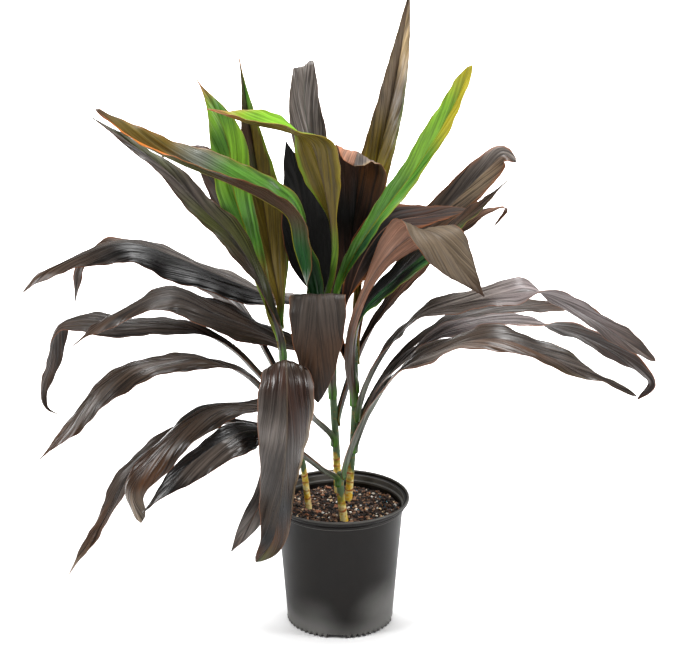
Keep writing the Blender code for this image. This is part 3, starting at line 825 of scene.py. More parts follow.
def scatter(kind, seed):
    """One mesh of all the pieces of a kind, each turned, stretched and crumpled."""
    stream = random.Random(seed)
    bm = bmesh.new()
    tint = bm.verts.layers.float_color.new("tint")
    for number in range(kind.count):
        x, y = clear_spot(stream)
        size = stream.uniform(kind.small, kind.large)
        turn = Matrix.Rotation(stream.uniform(0, math.tau), 4, 'Z')
        turn = turn @ Matrix.Rotation(stream.uniform(-TILT, TILT), 4, 'X')
        stretch = stream.uniform(SLIMMEST, 1.0) if kind.shape == "chip" else 1.0
        form = Matrix.Diagonal((size, size * stretch, size * kind.flat, 1))
        height = soil_height(x, y) + LIFT * size * kind.flat
        place = Matrix.Translation((x, y, height)) @ turn @ form
        if kind.shape == "chip":
            made = bmesh.ops.create_cube(bm, size=CHIP_SIDE, matrix=place)
        else:
            made = bmesh.ops.create_icosphere(bm, subdivisions=1, radius=1, matrix=place)
        colour = display(*stream.choice(kind.colours))
        for vert in made["verts"]:
            vert.co += Vector([stream.uniform(-OUT_OF_SHAPE, OUT_OF_SHAPE) * size
                               for axis in range(3)])
            vert[tint] = (*colour, 1.0)
    return bm


grit = Finish("grit")
crumb = grit.clouds(grit.place(), GRIT_SCALE, detail=3)
grit.surface(
    Base_Color=grit.mix(crumb * 0.4, grit.painted("tint"), PALETTE["grime"]),
    Roughness=0.75 + crumb * 0.2)

for seed, kind in enumerate(KINDS, FIRST_SEED):
    piece(kind.name, scatter(kind, seed), [grit.material], smooth_angle=30)

# %% [markdown]
# ## The leaves
#
# A ti leaf clasps its cane, narrows into a channelled petiole, and widens into a long
# blade with a strong midrib and parallel veins that run out towards the edge.  A flat
# outline bent by a modifier would do for a straight leaf, but these twist, fold and curl
# under.  So each leaf is a grid swept along its own route, rolled and waved, then given
# a thickness.
#
# A row of the table tells which cane the leaf clasps and how high, the heading that it
# leans to, in degrees from the plant's right, its width, where along the blade it is
# widest, how long its petiole is, its route, its roll, the height of its waves, how fast
# its tip narrows and how far its halves fold up.  Rolls and folds are in degrees, spread
# evenly from base to tip.

# %% The leaves, each with its cane, clasp, heading, size and route
Leaf = namedtuple("Leaf",
                  "name cane height facing width widest petiole route roll wave taper fold",
                  defaults=(1.0, (15, 15)))
LEAVES = (
    Leaf("left_long", "back", 407, 180, 84, 0.44, 70,
         ((-34, 34, 500), (-50, 10, 570), (-72, -10, 650), (-84, -20, 705), (-114, -25, 730),
          (-170, -35, 762), (-250, -40, 797), (-320, -50, 838), (-378, -55, 888)),
         (0, -44, -50, 2, 0, -12, -16, -15, -14), 2, 0.48, (20, 50, 48, 56, 50, 25)),
    Leaf("left_grey", "left", 462, 180, 48, 0.36, 90,
         ((-103, -34, 523), (-116, -33, 565), (-138, -25, 620), (-173, -12, 672),
          (-215, -7, 713), (-280, 14, 776), (-405, 40, 860)),
         (0, -35, -45, -40, -30), 3, 1.3),
    Leaf("left_hump", "left", 479, 150, 46, 0.45, 130,
         ((-114, 22, 530), (-135, 50, 593), (-170, 70, 670), (-200, 80, 738), (-222, 82, 777),
          (-250, 80, 782), (-285, 72, 780), (-315, 62, 765)),
         (0, -30, -40, -30, -10), 2),
    Leaf("left_green", "left", 498, 170, 60, 0.66, 60,
         ((-117, -20, 540), (-128, 4, 597), (-150, 20, 667), (-170, 25, 737),
          (-176, 28, 802), (-195, 26, 863), (-225, 20, 918)),
         (0, -60, -75, -70, -60), 2, 1.6, (15, 20, 22, 15)),
    Leaf("left_spear", "left", 514, 120, 74, 0.36, 36,
         ((-100, 18, 558), (-113, 56, 626), (-125, 70, 707), (-137, 78, 779),
          (-148, 82, 855), (-162, 88, 945)),
         (0, -20, -30, -30, -25), 2, 1.8, (15, 28, 38, 38)),
    Leaf("mid_arch", "back", 474, 180, 76, 0.46, 225,
         ((-27, 28, 543), (-16, 5, 605), (-13, 0, 660), (-20, -10, 725), (-32, -20, 785),
          (-48, -30, 830), (-86, -45, 850), (-140, -60, 866), (-205, -75, 893)),
         (0, 0, 5, 60, 78, 72, 0, -10, -10), 2, 1.0, (15, 15, 12, 8, 14, 50, 40)),
    Leaf("back_broad", "back", 508, 110, 58, 0.5, 80,
         ((-18, 112, 560), (-28, 145, 655), (-44, 170, 750), (-58, 190, 835), (-59, 205, 900),
          (-61, 222, 886), (-59, 232, 820)),
         (0, 5, -8, -26, -34), 2),
    Leaf("mid_dark", "back", 460, 150, 82, 0.42, 75,
         ((-31, 68, 542), (-46, 57, 614), (-58, 48, 687), (-68, 60, 740), (-80, 65, 780),
          (-87, 70, 806)),
         (0, -40, -45, -45, -45), 3),
    Leaf("mid_brown", "back", 442, 70, 94, 0.7, 70,
         ((3, 92, 530), (16, 110, 605), (26, 120, 695), (30, 120, 748), (30, 104, 778),
          (27, 84, 782), (22, 70, 765)),
         (0, 15, 15, 15, -30), 3, 0.42),
    Leaf("back_tall", "right", 452, 60, 58, 0.45, 110,
         ((31, 98, 532), (38, 140, 620), (54, 170, 715), (82, 190, 830), (100, 205, 925),
          (114, 210, 1025)),
         (0, 10, 20, 25, 30), 2, 1.0, (15, 30, 40, 30)),
    Leaf("right_green", "back", 492, 0, 46, 0.74, 70,
         ((2, 37, 573), (16, 20, 617), (62, 2, 698), (120, -18, 784), (168, -50, 878),
          (202, -70, 960)),
         (0, 50, 50, 45, 40), 2, 0.55, (15, 30, 34, 25)),
    Leaf("right_brown", "right", 432, 30, 54, 0.7, 120,
         ((37, 84, 500), (66, 120, 588), (170, 155, 664), (242, 180, 729), (272, 190, 752),
          (293, 184, 741)),
         (0, 30, 60, 60, 50), 2, 0.4),
    Leaf("right_hook", "right", 408, 20, 68, 0.45, 130,
         ((4, 62, 485), (18, 70, 555), (46, 70, 625), (85, 75, 668), (145, 80, 678),
          (210, 85, 685), (220, 80, 680)),
         (0, 25, 42, 30, 10), 2),
    Leaf("right_folded", "right", 362, 290, 84, 0.6, 215,
         ((15, 15, 455), (27, -2, 542), (60, -14, 618), (98, -24, 664), (130, -44, 690),
          (154, -72, 684), (188, -86, 643), (226, -92, 596)),
         (0, -10, -40, -28, 4, 0), 2, 1.2, (15, 40, 56, 14, 12)),
    Leaf("right_striped", "right", 385, 0, 56, 0.45, 100,
         ((26, 30, 472), (42, 36, 535), (95, 35, 590), (160, 30, 650), (225, 30, 710),
          (270, 25, 755)),
         (0, 25, 25, 15, 10), 2),
    Leaf("right_slim", "back", 315, 10, 46, 0.45, 150,
         ((25, 85, 410), (60, 90, 490), (110, 90, 565), (165, 95, 620), (230, 100, 675),
          (270, 100, 685), (262, 98, 670), (250, 95, 655)),
         (0, 10, 10, 5, 0), 2, 0.6),
    Leaf("right_arch", "right", 335, 350, 66, 0.55, 95,
         ((50, 30, 410), (95, 15, 495), (135, -5, 540), (200, -16, 562), (258, -25, 577),
          (316, -35, 584), (400, -45, 545), (505, -55, 475)),
         (0, 0, 5, 10, 14, 18, 22, -35, -50, -60, -65), 3, 0.5),
    Leaf("right_rear", "right", 308, 15, 54, 0.5, 140,
         ((56, 60, 368), (105, 68, 440), (180, 85, 495), (290, 110, 510), (370, 130, 505),
          (440, 145, 485), (450, 150, 455), (435, 150, 415)),
         (0, 5, 5, 0, 0), 2),
    Leaf("right_ribbon", "right", 280, 0, 60, 0.5, 110,
         ((45, 28, 342), (85, 32, 422), (165, 36, 490), (280, 40, 511), (395, 40, 487),
          (488, 35, 434), (513, 30, 405), (490, 30, 378)),
         (0, 3, 5, 5, 5, 5, -5, -40, -55, -50, -40), 3, 0.7),
    Leaf("right_low", "front", 270, 340, 70, 0.4, 120,
         ((20, -55, 320), (45, -65, 380), (90, -90, 465), (150, -120, 515), (240, -160, 550),
          (330, -185, 526), (455, -215, 475)),
         (0, 8, 12, 15, 10), 5, 0.75),
    Leaf("left_upper", "back", 427, 175, 90, 0.46, 70,
         ((-42, 80, 494), (-66, 72, 526), (-125, 65, 550), (-195, 65, 581), (-270, 65, 614),
          (-348, 60, 640), (-425, 60, 617), (-490, 55, 586), (-520, 50, 555)),
         (0, -10, -14, -14, -10), 4, 0.75, (15, 0, -12, -14, -8)),
    Leaf("left_rear", "left", 380, 150, 52, 0.5, 130,
         ((-110, 30, 430), (-135, 65, 465), (-165, 100, 510), (-210, 130, 532), (-270, 155, 555),
          (-320, 170, 582), (-398, 180, 600), (-435, 185, 565), (-450, 185, 495)),
         (0, 10, 0, -10, 0), 3, 0.7),
    Leaf("left_broad", "back", 388, 180, 86, 0.4, 62,
         ((-40, 60, 437), (-90, 35, 475), (-145, 15, 508), (-205, 0, 540), (-268, -18, 577),
          (-345, -35, 555), (-400, -45, 522), (-435, -50, 493)),
         (0, -12, -15, -12, -8), 4, 1.0, (15, 8, -5, -8)),
    Leaf("left_curl", "left", 397, 175, 62, 0.5, 140,
         ((-120, 5, 415), (-175, 20, 465), (-230, 35, 494), (-285, 45, 503), (-350, 50, 504),
          (-425, 55, 512), (-462, 60, 499), (-476, 60, 437), (-494, 55, 380),
          (-487, 50, 355), (-470, 50, 345)),
         (0, -15, -22, -18, 30, 20), 2, 1.0, (15, 0, -10, -5)),
    Leaf("left_blade", "left", 362, 195, 66, 0.55, 100,
         ((-115, -20, 398), (-160, -45, 450), (-215, -65, 483), (-272, -90, 491),
          (-330, -115, 486), (-378, -130, 455), (-427, -145, 398), (-475, -155, 345)),
         (0, -8, -14, -20, -10), 3, 1.0, (15, -5, -12, -5)),
    Leaf("low_hooked", "back", 280, 210, 62, 0.5, 180,
         ((-45, 20, 345), (-68, -58, 393), (-145, -70, 406), (-200, -86, 406), (-246, -110, 383),
          (-292, -128, 341), (-330, -138, 283), (-318, -142, 232)),
         (0, -10, -15, -20, -50), 5, 0.45, (15, 0, -12, -15)),
    Leaf("low_trailing", "left", 305, 190, 46, 0.5, 130,
         ((-95, -15, 330), (-145, -25, 350), (-220, -40, 360), (-285, -55, 338),
          (-345, -70, 285), (-376, -80, 228), (-445, -90, 115)),
         (0, -10, -15, -20, -15), 3),
    Leaf("low_glossy", "front", 258, 205, 70, 0.4, 130,
         ((-30, -80, 295), (-60, -95, 325), (-95, -106, 357), (-135, -115, 380),
          (-180, -150, 378), (-235, -175, 347), (-282, -190, 305), (-310, -194, 272)),
         (0, -10, -25, -25, -10), 3, 1.0, (15, -5, -12, -5)),
    Leaf("front_broad", "left", 345, 275, 94, 0.38, 95,
         ((-76, -54, 408), (-86, -94, 465), (-85, -116, 499), (-83, -143, 478),
          (-84, -164, 380), (-94, -170, 283), (-108, -172, 212), (-134, -173, 178)),
         (0, 0, 0, -10, -12, 0), 3, 0.6, (15, -16, -8, -28, 12)),
    Leaf("front_upper", "back", 366, 272, 90, 0.5, 130,
         ((-20, 20, 470), (-30, -32, 552), (-35, -66, 591), (-35, -85, 575),
          (-35, -94, 510), (-35, -96, 420)),
         (0, 0, 0, 0, 0), 2, 0.65, (15, 15, 5, -12)),
    Leaf("front_slip", "left", 285, 250, 32, 0.5, 130,
         ((-95, -50, 330), (-114, -90, 315), (-127, -120, 259), (-175, -125, 175)),
         (0, 0, -10, -20), 2),
)
print("leaves:", len(LEAVES))


# %% Where a leaf's midrib runs
CLASP_LENGTH = 12
CLASP_LEAN = 1.6
PETIOLE_THICK = 3.6
FINE_SPAN = 6
ROLL_IN = 90


def blend(values, share):
    """A smooth value or colour read from an even row of them."""
    place = min(max(share, 0.0), 1.0) * (len(values) - 1)
    index = min(int(place), len(values) - 2)
    part = ease(place - index)
    return values[index] * (1 - part) + values[index + 1] * part


def leaf_route(leaf, cane):
    """Clasp the cane, follow it for a moment, then take the leaf's own route."""
    foot, up = at_height(cane_line(cane), leaf.height)
    outward = Vector(leaf.route[0]) - foot
    outward = (outward - up * outward.dot(up)).normalized()
    standoff = cane_radius(cane, leaf.height) + GAP + PETIOLE_THICK / 2
    base = foot + outward * standoff
    near = base + up * CLASP_LENGTH + outward * CLASP_LEAN
    points = [base, near] + [Vector(point) for point in leaf.route]
    spans = [max(3, round((b - a).length / FINE_SPAN)) for a, b in zip(points, points[1:])]
    return smooth_route(points, spans), outward, standoff


def leaf_frames(leaf, stations, outward):
    """The way across the leaf and towards its upper side, at every station."""
    travelled = [0.0]
    for low, high in zip(stations, stations[1:]):
        travelled.append(travelled[-1] + (high - low).length)
    facing = math.radians(leaf.facing)
    side = Vector((math.sin(facing), -math.cos(facing), 0))
    frames = []
    for index in range(len(stations)):
        before = stations[max(index - 1, 0)]
        after = stations[min(index + 1, len(stations) - 1)]
        tangent = (after - before).normalized()
        upper = side.cross(tangent).normalized()
        across = tangent.cross(upper)
        if index == 0:
            first_roll = math.atan2(-outward.dot(across), -outward.dot(upper))
        turn_in = ease(travelled[index] / min(leaf.petiole, ROLL_IN))
        own_roll = math.radians(blend(leaf.roll, travelled[index] / travelled[-1]))
        roll = first_roll * (1 - turn_in) + own_roll * turn_in
        frames.append((across * math.cos(roll) - upper * math.sin(roll),
                       upper * math.cos(roll) + across * math.sin(roll)))
    return frames, travelled


canes_by_name = {cane.name: cane for cane in CANES}
for leaf in LEAVES[:3]:
    stations = leaf_route(leaf, canes_by_name[leaf.cane])[0]
    print(leaf.name, "leaf, stations:", len(stations))


# %% [markdown]
# ### The blade's cross section
#
# Seen from its tip a leaf is a shallow V that flattens towards the edge, with long
# pleats along its veins and an edge that waves.  The widths and slopes follow the
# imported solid, with a fuller petiole; pleats, furrows, a groove over the midrib and
# small frills are added.  Each leaf, and each half of it, reads the noise at a place
# of its own, so that no two are alike.

# %% Width and slopes
CLASP_HALF = 6.2
PETIOLE_HALF = 9.0
STALK_HALF = 11.2
TIP_HALF = 0.9
COLUMNS = 40
PETIOLE_TROUGH = (44, 64)
BLADE_FLARE = 21
CHANNEL_OPENS = 30
BLADE_OPENS = 0.15


def half_width(leaf, travelled, length):
    """Petiole, then a blade widest before its middle that runs out to a fine tip."""
    if travelled < CLASP_LENGTH:
        share = travelled / CLASP_LENGTH
        return CLASP_HALF + (PETIOLE_HALF - CLASP_HALF) * share
    along = (travelled - leaf.petiole) / (length - leaf.petiole)
    if along <= 0:
        share = (travelled - CLASP_LENGTH) / (leaf.petiole - CLASP_LENGTH)
        return PETIOLE_HALF + (STALK_HALF - PETIOLE_HALF) * share
    if along < leaf.widest:
        swell = math.sin(math.pi / 2 * along / leaf.widest)
    else:
        swell = math.sin(math.pi / 2 * (1 - along) / (1 - leaf.widest)) ** leaf.taper
    stalk = STALK_HALF + (TIP_HALF - STALK_HALF) * along
    return math.hypot(stalk, leaf.width / 2 * swell)


def slopes_at(leaf, travelled, length, into_blade, half, standoff):
    """Slopes of the inner and outer part of each side, from clasp to channel to blade."""
    fold = blend(leaf.fold, travelled / length)
    trough = (fold, fold - BLADE_FLARE)
    hug = math.degrees(math.asin(min(1.0, half / (4 * standoff))))
    opened = min(1.0, travelled / CHANNEL_OPENS)
    for clasped, petiole, blade in zip((hug, 3 * hug), PETIOLE_TROUGH, trough):
        channel = clasped * (1 - opened) + petiole * opened
        yield math.radians(channel * (1 - into_blade) + blade * into_blade)


def cross_section(half, inner, outer):
    """Offsets of every column, sideways and towards the upper side."""
    half_columns = COLUMNS // 2
    strip = half / half_columns
    side = [(0.0, 0.0)]
    for column in range(half_columns):
        slope = inner + (outer - inner) * ease((column + 0.5) / half_columns)
        x, z = side[-1]
        side.append((x + strip * math.cos(slope), z + strip * math.sin(slope)))
    return [(-x, z) for x, z in reversed(side[1:])] + side


print("widest leaf, mm:", max(leaf.width for leaf in LEAVES))


# %% Waves, frills, pleats and the groove
WAVE_LENGTH = 120
WAVE_LAG = 1.9
WAVE_FULL = 12
FRILL_LENGTH = 37
FRILL_HEIGHT = 0.9
FRILL_LAG = (1.7, 2.1)
SWELL_HEIGHT = 1.2
SWELL_SIZE = (55, 1.3)
PLEATS = 4
PLEAT_HEIGHT = 0.36
PLEAT_DRIFT = 0.12
PLEAT_RISES = (0.04, 0.25)
FURROW_HEIGHT = 1.3
FURROW_SIZE = (6, 120)
FURROW_RISES = (0.02, 0.2)
TIP_FADE = 0.12
GROOVE_DEPTH = 0.7
GROOVE_HALF = 3.0
GROOVE_FADE = 0.3
HALF_SHIFT = 9


def relief(leaf, number, travelled, along, half, across):
    """Height of the waves, frills, pleats and rib groove at one point of the blade."""
    share = abs(across)
    right = across > 0
    wide = min(1.0, half / WAVE_FULL)
    before_tip = ease(1 - along, 0.0, TIP_FADE)
    wave = math.sin(math.tau * travelled / WAVE_LENGTH + WAVE_LAG * right)
    frill = math.sin(math.tau * travelled / FRILL_LENGTH
                     + FRILL_LAG[0] * number + FRILL_LAG[1] * right)
    swell = noise.noise(Vector((travelled / SWELL_SIZE[0], across * SWELL_SIZE[1], number)))
    vein = share * half - PLEAT_DRIFT * travelled
    pleat = math.sin(math.tau * vein / (leaf.width / 2 / PLEATS))
    pleat *= ease(share, *PLEAT_RISES) * before_tip
    furrow = noise.noise(Vector((vein / FURROW_SIZE[0], travelled / FURROW_SIZE[1],
                                 number + HALF_SHIFT * right)))
    furrow *= ease(share, *FURROW_RISES) * before_tip
    groove = 1 - ease(share * half, 0.0, GROOVE_HALF)
    groove *= GROOVE_DEPTH * ease(1 - along, 0.0, GROOVE_FADE)
    height = leaf.wave * wave * share ** 2 + FRILL_HEIGHT * frill * share ** 3
    height += SWELL_HEIGHT * swell + PLEAT_HEIGHT * pleat + FURROW_HEIGHT * furrow
    return wide * height - groove


print("highest waves, mm:", max(leaf.wave for leaf in LEAVES))


# %% [markdown]
# ### What colours a leaf wears
#
# No two leaves of this plant share a colour: the young ones are lime, the old ones
# bronze, grey or almost black, most with a coppery edge.  A table gives each leaf its
# colours for the face, the edge, the back and the midrib.  A row of names runs from
# base to tip, a name with `*3` counts three times, and a slash parts the rows of the
# left and the right half.  Some rows also paint light and shade into these colours,
# as noted at each of them: pale names for painted sheen and highlights, black for
# painted shade.  `rough` is how dull the face is, and `streak` how strongly its veins
# show.

# %% The colours of each leaf, from its base to its tip
Look = namedtuple("Look", "face edge back rib rough streak", defaults=("rose", 0.36, 1.0))
LOOKS = {
    # left_long: the black a third of the way along both halves is a painted shadow band, and the
    # stalk grey in the right half a painted sheen.
    "left_long": Look(
        "deep*4 black green*2 olive*2 orange*2 umber/deep*4 black green*3 stalk olive*2 umber",
        "umber olive umber copper*2/deep green olive copper", "deep*4 umber*2 moss olive copper",
        "yellow", streak=0.5),
    "left_grey": Look(
        "moss slate bronze moss slate bronze maroon/moss*3 slate moss bronze", "slate umber maroon",
        "slate*2", "mist"),
    "left_hump": Look("moss slate*2 maroon slate", "slate umber", "slate umber"),
    "left_green": Look(
        "moss green*2 lime green lime green lime copper/moss olive*2 green*2 lime*2 green copper",
        "green lime*2 copper/olive green lime copper", "olive green", "yellow", streak=0.5),
    "left_spear": Look(
        "olive*4 moss umber moss umber/moss olive*5 green copper",
        "olive*2 umber copper/green*2 lime copper", "olive umber copper", "umber", 0.5, 0.6),
    "mid_arch": Look(
        "lime*2 olive lime green lime*2 copper", "olive yellow copper/olive lime*2 copper",
        "lime*3 olive*4 copper", "umber", streak=0.6),
    "back_broad": Look("umber bronze slate*2 mist*3", "slate umber", "slate mist slate", "stalk"),
    # mid_dark: near black, partly the leaf's own dark tone and partly painted shade.
    "mid_dark": Look("black*6", "black*3 slate/black*2", "black slate", "bronze", 0.6),
    "mid_brown": Look(
        "black*2 maroon black maroon umber/black russet black maroon russet umber",
        "maroon umber copper*2/maroon umber*2 straw", "umber rose copper rose/umber rose*2 mist",
        "black", 0.55),
    # back_tall: the tan and straw towards the tip are partly leaf colour and partly a painted sheen
    # stripe.
    "back_tall": Look(
        "slate olive yellow*2 olive tan*2 umber/slate olive*2 yellow olive tan straw umber",
        "olive rose umber olive/orange*3 olive green tan umber", "slate rose olive", "bronze", 0.34,
        0.7),
    "right_green": Look(
        "moss green*3 lime*2 yellow/moss green deep green*2 yellow*2",
        "green*2 yellow/green lime yellow*2", "green lime olive", "yellow", 0.34, 0.5),
    "right_brown": Look(
        "slate bronze slate bronze slate mist/umber*2 tan umber tan umber",
        "slate umber copper/umber copper", "umber tan", "mist"),
    "right_hook": Look(
        "maroon black maroon black maroon umber", "bronze copper umber/umber orange*2 copper umber",
        "umber bronze", "rose", 0.6),
    "right_folded": Look(
        "umber moss olive tan*3 umber tan*3 umber", "umber copper slate*2", "umber*2 rose*3 umber",
        "mist", 0.45, 0.5),
    "right_striped": Look(
        "moss deep black*2 slate umber bronze/moss deep*2 black deep umber bronze",
        "black slate umber/green lime green umber", "umber*2", "deep"),
    "right_slim": Look(
        "stalk slate umber rose umber rose", "slate umber", "slate umber rose*2", "rose", 0.46),
    # right_arch: the mist at the crest is a painted highlight, and the lilac after it partly a
    # painted sheen.
    "right_arch": Look(
        "stalk rose slate*2 mist lilac*3 tan/stalk rose slate*3 lilac*2 tan umber",
        "slate*2 mist umber/slate*2 umber*2", "stalk slate lilac*2 umber", "mist", 0.32),
    "right_rear": Look(
        "stalk slate bronze slate umber moss", "slate umber", "slate umber", "mist", 0.4),
    # right_ribbon: the mist and lilac along its span are partly its mauve-grey tone and partly
    # painted highlights.
    "right_ribbon": Look(
        "stalk slate mist lilac*4 slate/stalk umber mist lilac*2 tan rose copper",
        "slate mist*2 maroon/slate*2 copper*2", "stalk bronze maroon", "mist", 0.32),
    "right_low": Look(
        "stalk bronze black slate bronze slate bronze/stalk rose slate mist umber bronze*2",
        "umber mist slate moss/rose*2 umber moss", "stalk*2 rose umber moss", "slate", 0.32),
    # left_upper: the black left half is painted shade, and the mist of the right half a painted
    # sheen.
    "left_upper": Look(
        "slate black*4 bronze umber/slate mist*3 slate bronze umber",
        "black*2 umber/mist slate*2 umber", "bronze slate umber", "mist", 0.3),
    "left_rear": Look(
        "stalk slate*2 umber*2 olive", "slate umber copper", "stalk slate umber russet"),
    "left_broad": Look(
        "stalk bronze*2 slate bronze umber", "slate bronze umber/slate*2 umber",
        "stalk slate umber", "mist"),
    "left_curl": Look(
        "stalk umber slate*2 umber*2", "slate*2 umber/slate umber*2", "stalk slate umber", "slate",
        0.32),
    "left_blade": Look(
        "stalk slate bronze*3 russet", "slate bronze umber/slate umber*2", "stalk umber rose umber",
        "slate", 0.3),
    "low_hooked": Look(
        "stalk slate*2 bronze*3 russet tan", "slate bronze*2/slate umber bronze",
        "stalk umber bronze", "slate", 0.3),
    "low_trailing": Look(
        "stalk slate bronze*3 russet tan", "slate umber", "stalk umber bronze", "slate", 0.32),
    # low_glossy: the slate in its left half is a painted highlight on the black leaf.
    "low_glossy": Look(
        "stalk*2 black*3 slate*2 black bronze/stalk*2 black*6 bronze", "slate black bronze",
        "stalk*2 bronze slate", "slate", 0.2),
    # front_broad: the mist and straw along the blade and edges are painted highlights, and the tan
    # midrib a painted highlight line.
    "front_broad": Look(
        "slate bronze*2 umber bronze maroon*2 slate bronze black russet moss/"
        "slate bronze*4 maroon slate mist slate*2 bronze black russet",
        "slate umber*2 mist straw*2 tan russet/"
        "slate umber mist*4 umber russet", "stalk umber rose umber", "tan", 0.3, 0.7),
    "front_upper": Look(
        "slate umber slate bronze slate umber bronze",
        "umber straw umber*2/umber straw umber bronze", "umber rose umber", "bronze", 0.42, 0.7),
    "front_slip": Look(
        "stalk mist slate mist slate mist umber", "slate mist/slate*2", "slate umber"),
}


def colour_row(names):
    """The colours of one row of the table."""
    row = []
    for word in names.split():
        name, *count = word.split("*")
        row += [PALETTE[name]] * int(count[0] if count else 1)
    return row


def halves(names):
    """One row of colours for each half of the leaf, the same for both without a slash."""
    return [colour_row(half) for half in (names.split("/") * 2)[:2]]


print("looks:", len(LOOKS))

# %% [markdown]
# ### Leaf skin
#
# A ti leaf is satin, with hundreds of fine veins that catch the light as streaks.  As
# geometry they would take a very dense mesh.  But every point of the mesh knows how far
# along and across its leaf it lies, so noise drawn out along the veins gives both the
# streaks of colour and their fine relief.  The lighter and darker streaks of colour are
# partly the veins' own tone and partly painted sheen and painted shade.

# %% The face and the back of a leaf
STREAKS = (0.24, 0.005, 1)
FINE_LINES = (0.6, 0.008, 1)
PATCHES = (0.09, 0.012, 1)
LIGHT_BAND = (0.39, 0.61)
DARK_STREAK = (0.3, 0.285, 0.27)
EDGE_BAND = (0.7, 1.08)
RIB_BAND = (0.5, 1.7)
RIB_ENDS = (0.6, 0.95)
MARGIN_BAND = (0.955, 0.99)


def leaf_skin(name, colour_layer, sheen_streak, wax, gloss):
    """Base colour, then streaks, edge, midrib and a coppery margin, one over another."""
    skin = Finish(name)
    rough = skin.painted("face", 3)
    streak = skin.painted("edge", 3)
    vein = skin.painted("vein", 1)
    along, across, from_rib = skin.axes(skin.painted("spot", 1))

    def drawn_out(scale, detail):
        return skin.clouds(skin.stretched(vein, scale), 1, detail=detail, rough=0.6)

    streaks = drawn_out(STREAKS, 2)
    fine = drawn_out(FINE_LINES, 1)
    patches = drawn_out(PATCHES, 3)
    # Streaks of colour: partly vein tone, partly painted sheen (lighter) and painted shade (darker)
    # along the pleats.
    light = skin.between(0.4 * streaks + 0.28 * fine + 0.32 * patches, *LIGHT_BAND)
    shade = skin.mix(light, DARK_STREAK, sheen_streak)
    streaked = skin.mix(streak, skin.painted(colour_layer), shade, 'MULTIPLY')
    near_edge = skin.between(across + 0.5 * (streaks - 0.5), *EDGE_BAND)
    edged = skin.mix(near_edge * 0.6, streaked, skin.painted("edge"))
    rib_line = (1 - skin.between(from_rib, *RIB_BAND)) * (1 - skin.between(along, *RIB_ENDS))
    ribbed = skin.mix(rib_line * 0.55, edged, skin.painted("rib"))
    margin = skin.between(across, *MARGIN_BAND)
    skin.surface(
        Base_Color=skin.mix(margin * 0.4, ribbed, PALETTE["copper"]),
        Roughness=rough + 0.5 * (streaks - 0.45) + wax,
        Specular_IOR_Level=gloss,
        Normal=skin.bumps(0.9, 0.0026, 0.7 * streaks + 0.3 * fine))
    return skin.material


glossy_skin = leaf_skin("leaf_glossy", "face", (1.7, 1.68, 1.65), -0.03, 0.33)
dull_skin = leaf_skin("leaf_dull", "face", (1.5, 1.48, 1.45), 0.04, 0.18)
back_skin = leaf_skin("leaf_back", "back", (1.5, 1.47, 1.45), 0.06, 0.3)
print("nodes in a leaf's skin:", len(glossy_skin.node_tree.nodes))

# %% [markdown]
# ### Growing one leaf
#
# A flat grid is laid along the midrib: its long way becomes the leaf's length and its
# short way the width.  What every point of a row shares is worked out once, and each
# point then takes its place and its colours.  Solidify gives the sheet a thickness,
# thinner in the blade than in the petiole, and puts the second material on the back.

# %% What the points of a row share
GREEN_BASE = 45
Row = namedtuple("Row", "middle across upper travelled along half into_blade section colours")


def leaf_rows(leaf, cane):
    """One Row for every station along the leaf."""
    stations, outward, standoff = leaf_route(leaf, cane)
    frames, travelled = leaf_frames(leaf, stations, outward)
    length = travelled[-1]
    look = LOOKS[leaf.name]
    colour_rows = [row for part in (look.face, look.edge, look.back) for row in halves(part)]
    rows = []
    for middle, (across, upper), gone in zip(stations, frames, travelled):
        half = half_width(leaf, gone, length)
        into_blade = min(1.0, max(0.0, gone - leaf.petiole) / (BLADE_OPENS * length))
        inner, outer = slopes_at(leaf, gone, length, into_blade, half, standoff)
        colours = [towards_colour(PALETTE["green"], blend(row, gone / length), gone / GREEN_BASE)
                   for row in colour_rows]
        rows.append(Row(middle, across, upper, gone, gone / length, half, into_blade,
                        cross_section(half, inner, outer), colours))
    return rows


# %% Grow every leaf
BLADE_THICK = 0.7
DULL_FROM = 0.41
RAGGED = 0.05
RAGGED_LENGTH = 24
SKIN_SHIFT = (13.7, 5)


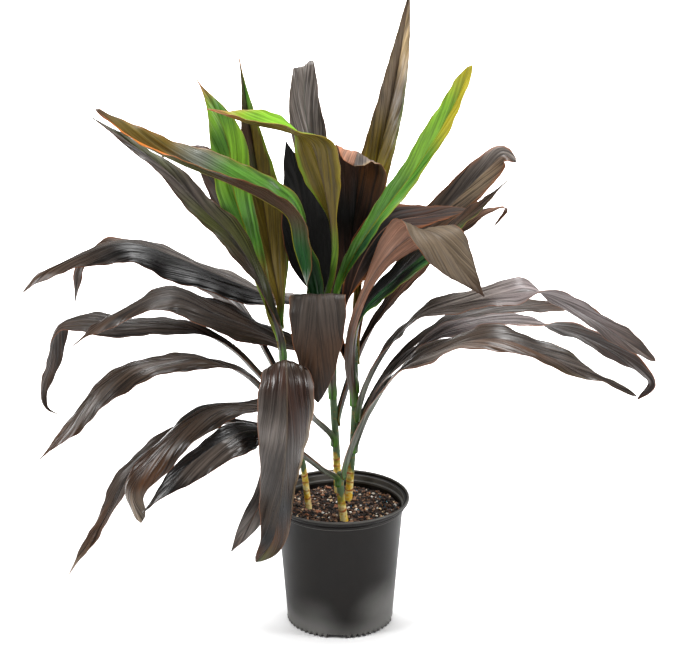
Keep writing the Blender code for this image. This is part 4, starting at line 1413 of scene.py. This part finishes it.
def blade_point(leaf, number, row, column, across):
    """Where one point of the flat grid goes."""
    sideways, rise = row.section[column]
    ragged = noise.noise(Vector((row.travelled / RAGGED_LENGTH, HALF_SHIFT * (across > 0), number)))
    sideways *= 1 + RAGGED * ragged * row.into_blade
    rise += row.into_blade * relief(leaf, number, row.travelled, row.along, row.half, across)
    return row.middle + row.across * sideways + row.upper * rise


def make_leaf(leaf, number, cane):
    """Sweep a grid along the leaf, store its colours on the points, and thicken it."""
    rows = leaf_rows(leaf, cane)
    look = LOOKS[leaf.name]
    bm = bmesh.new()
    bmesh.ops.create_grid(bm, x_segments=len(rows) - 1, y_segments=COLUMNS, size=1)
    bmesh.ops.reverse_faces(bm, faces=bm.faces)
    face, edge, back, rib = (bm.verts.layers.float_color.new(name)
                             for name in ("face", "edge", "back", "rib"))
    vein, spot = (bm.verts.layers.float_vector.new(name) for name in ("vein", "spot"))
    thickness = bm.verts.layers.deform.verify()
    for vert in bm.verts:
        row = rows[round((vert.co.x + 1) / 2 * (len(rows) - 1))]
        column = round((vert.co.y + 1) / 2 * COLUMNS)
        across = 2 * column / COLUMNS - 1
        vert.co = blade_point(leaf, number, row, column, across)
        right = across > 0
        vert[face] = (*row.colours[right], look.rough)
        vert[edge] = (*row.colours[2 + right], look.streak)
        vert[back] = (*row.colours[4 + right], 1.0)
        vert[rib] = (*PALETTE[look.rib], 1.0)
        from_rib = abs(across) * row.half
        vert[vein] = (from_rib - PLEAT_DRIFT * row.travelled, row.travelled,
                      SKIN_SHIFT[0] * number + SKIN_SHIFT[1] * right)
        vert[spot] = (row.along, abs(across), from_rib)
        fade = min(1.0, row.travelled / leaf.petiole)
        vert[thickness][0] = 1 - fade * (1 - BLADE_THICK / PETIOLE_THICK)
    for border in bm.edges:
        border.smooth = not border.is_boundary
    face_skin = dull_skin if look.rough >= DULL_FROM else glossy_skin
    item = piece("blade_" + leaf.name, bm, [face_skin, back_skin], ["leaf_" + leaf.name],
                 smooth_angle=180)
    item.vertex_groups.new(name="thickness")
    wall = item.modifiers.new("thickness", 'SOLIDIFY')
    wall.thickness = PETIOLE_THICK * MM
    wall.offset = 0
    wall.vertex_group = "thickness"
    wall.material_offset = 1


for number, leaf in enumerate(LEAVES):
    make_leaf(leaf, number, canes_by_name[leaf.cane])
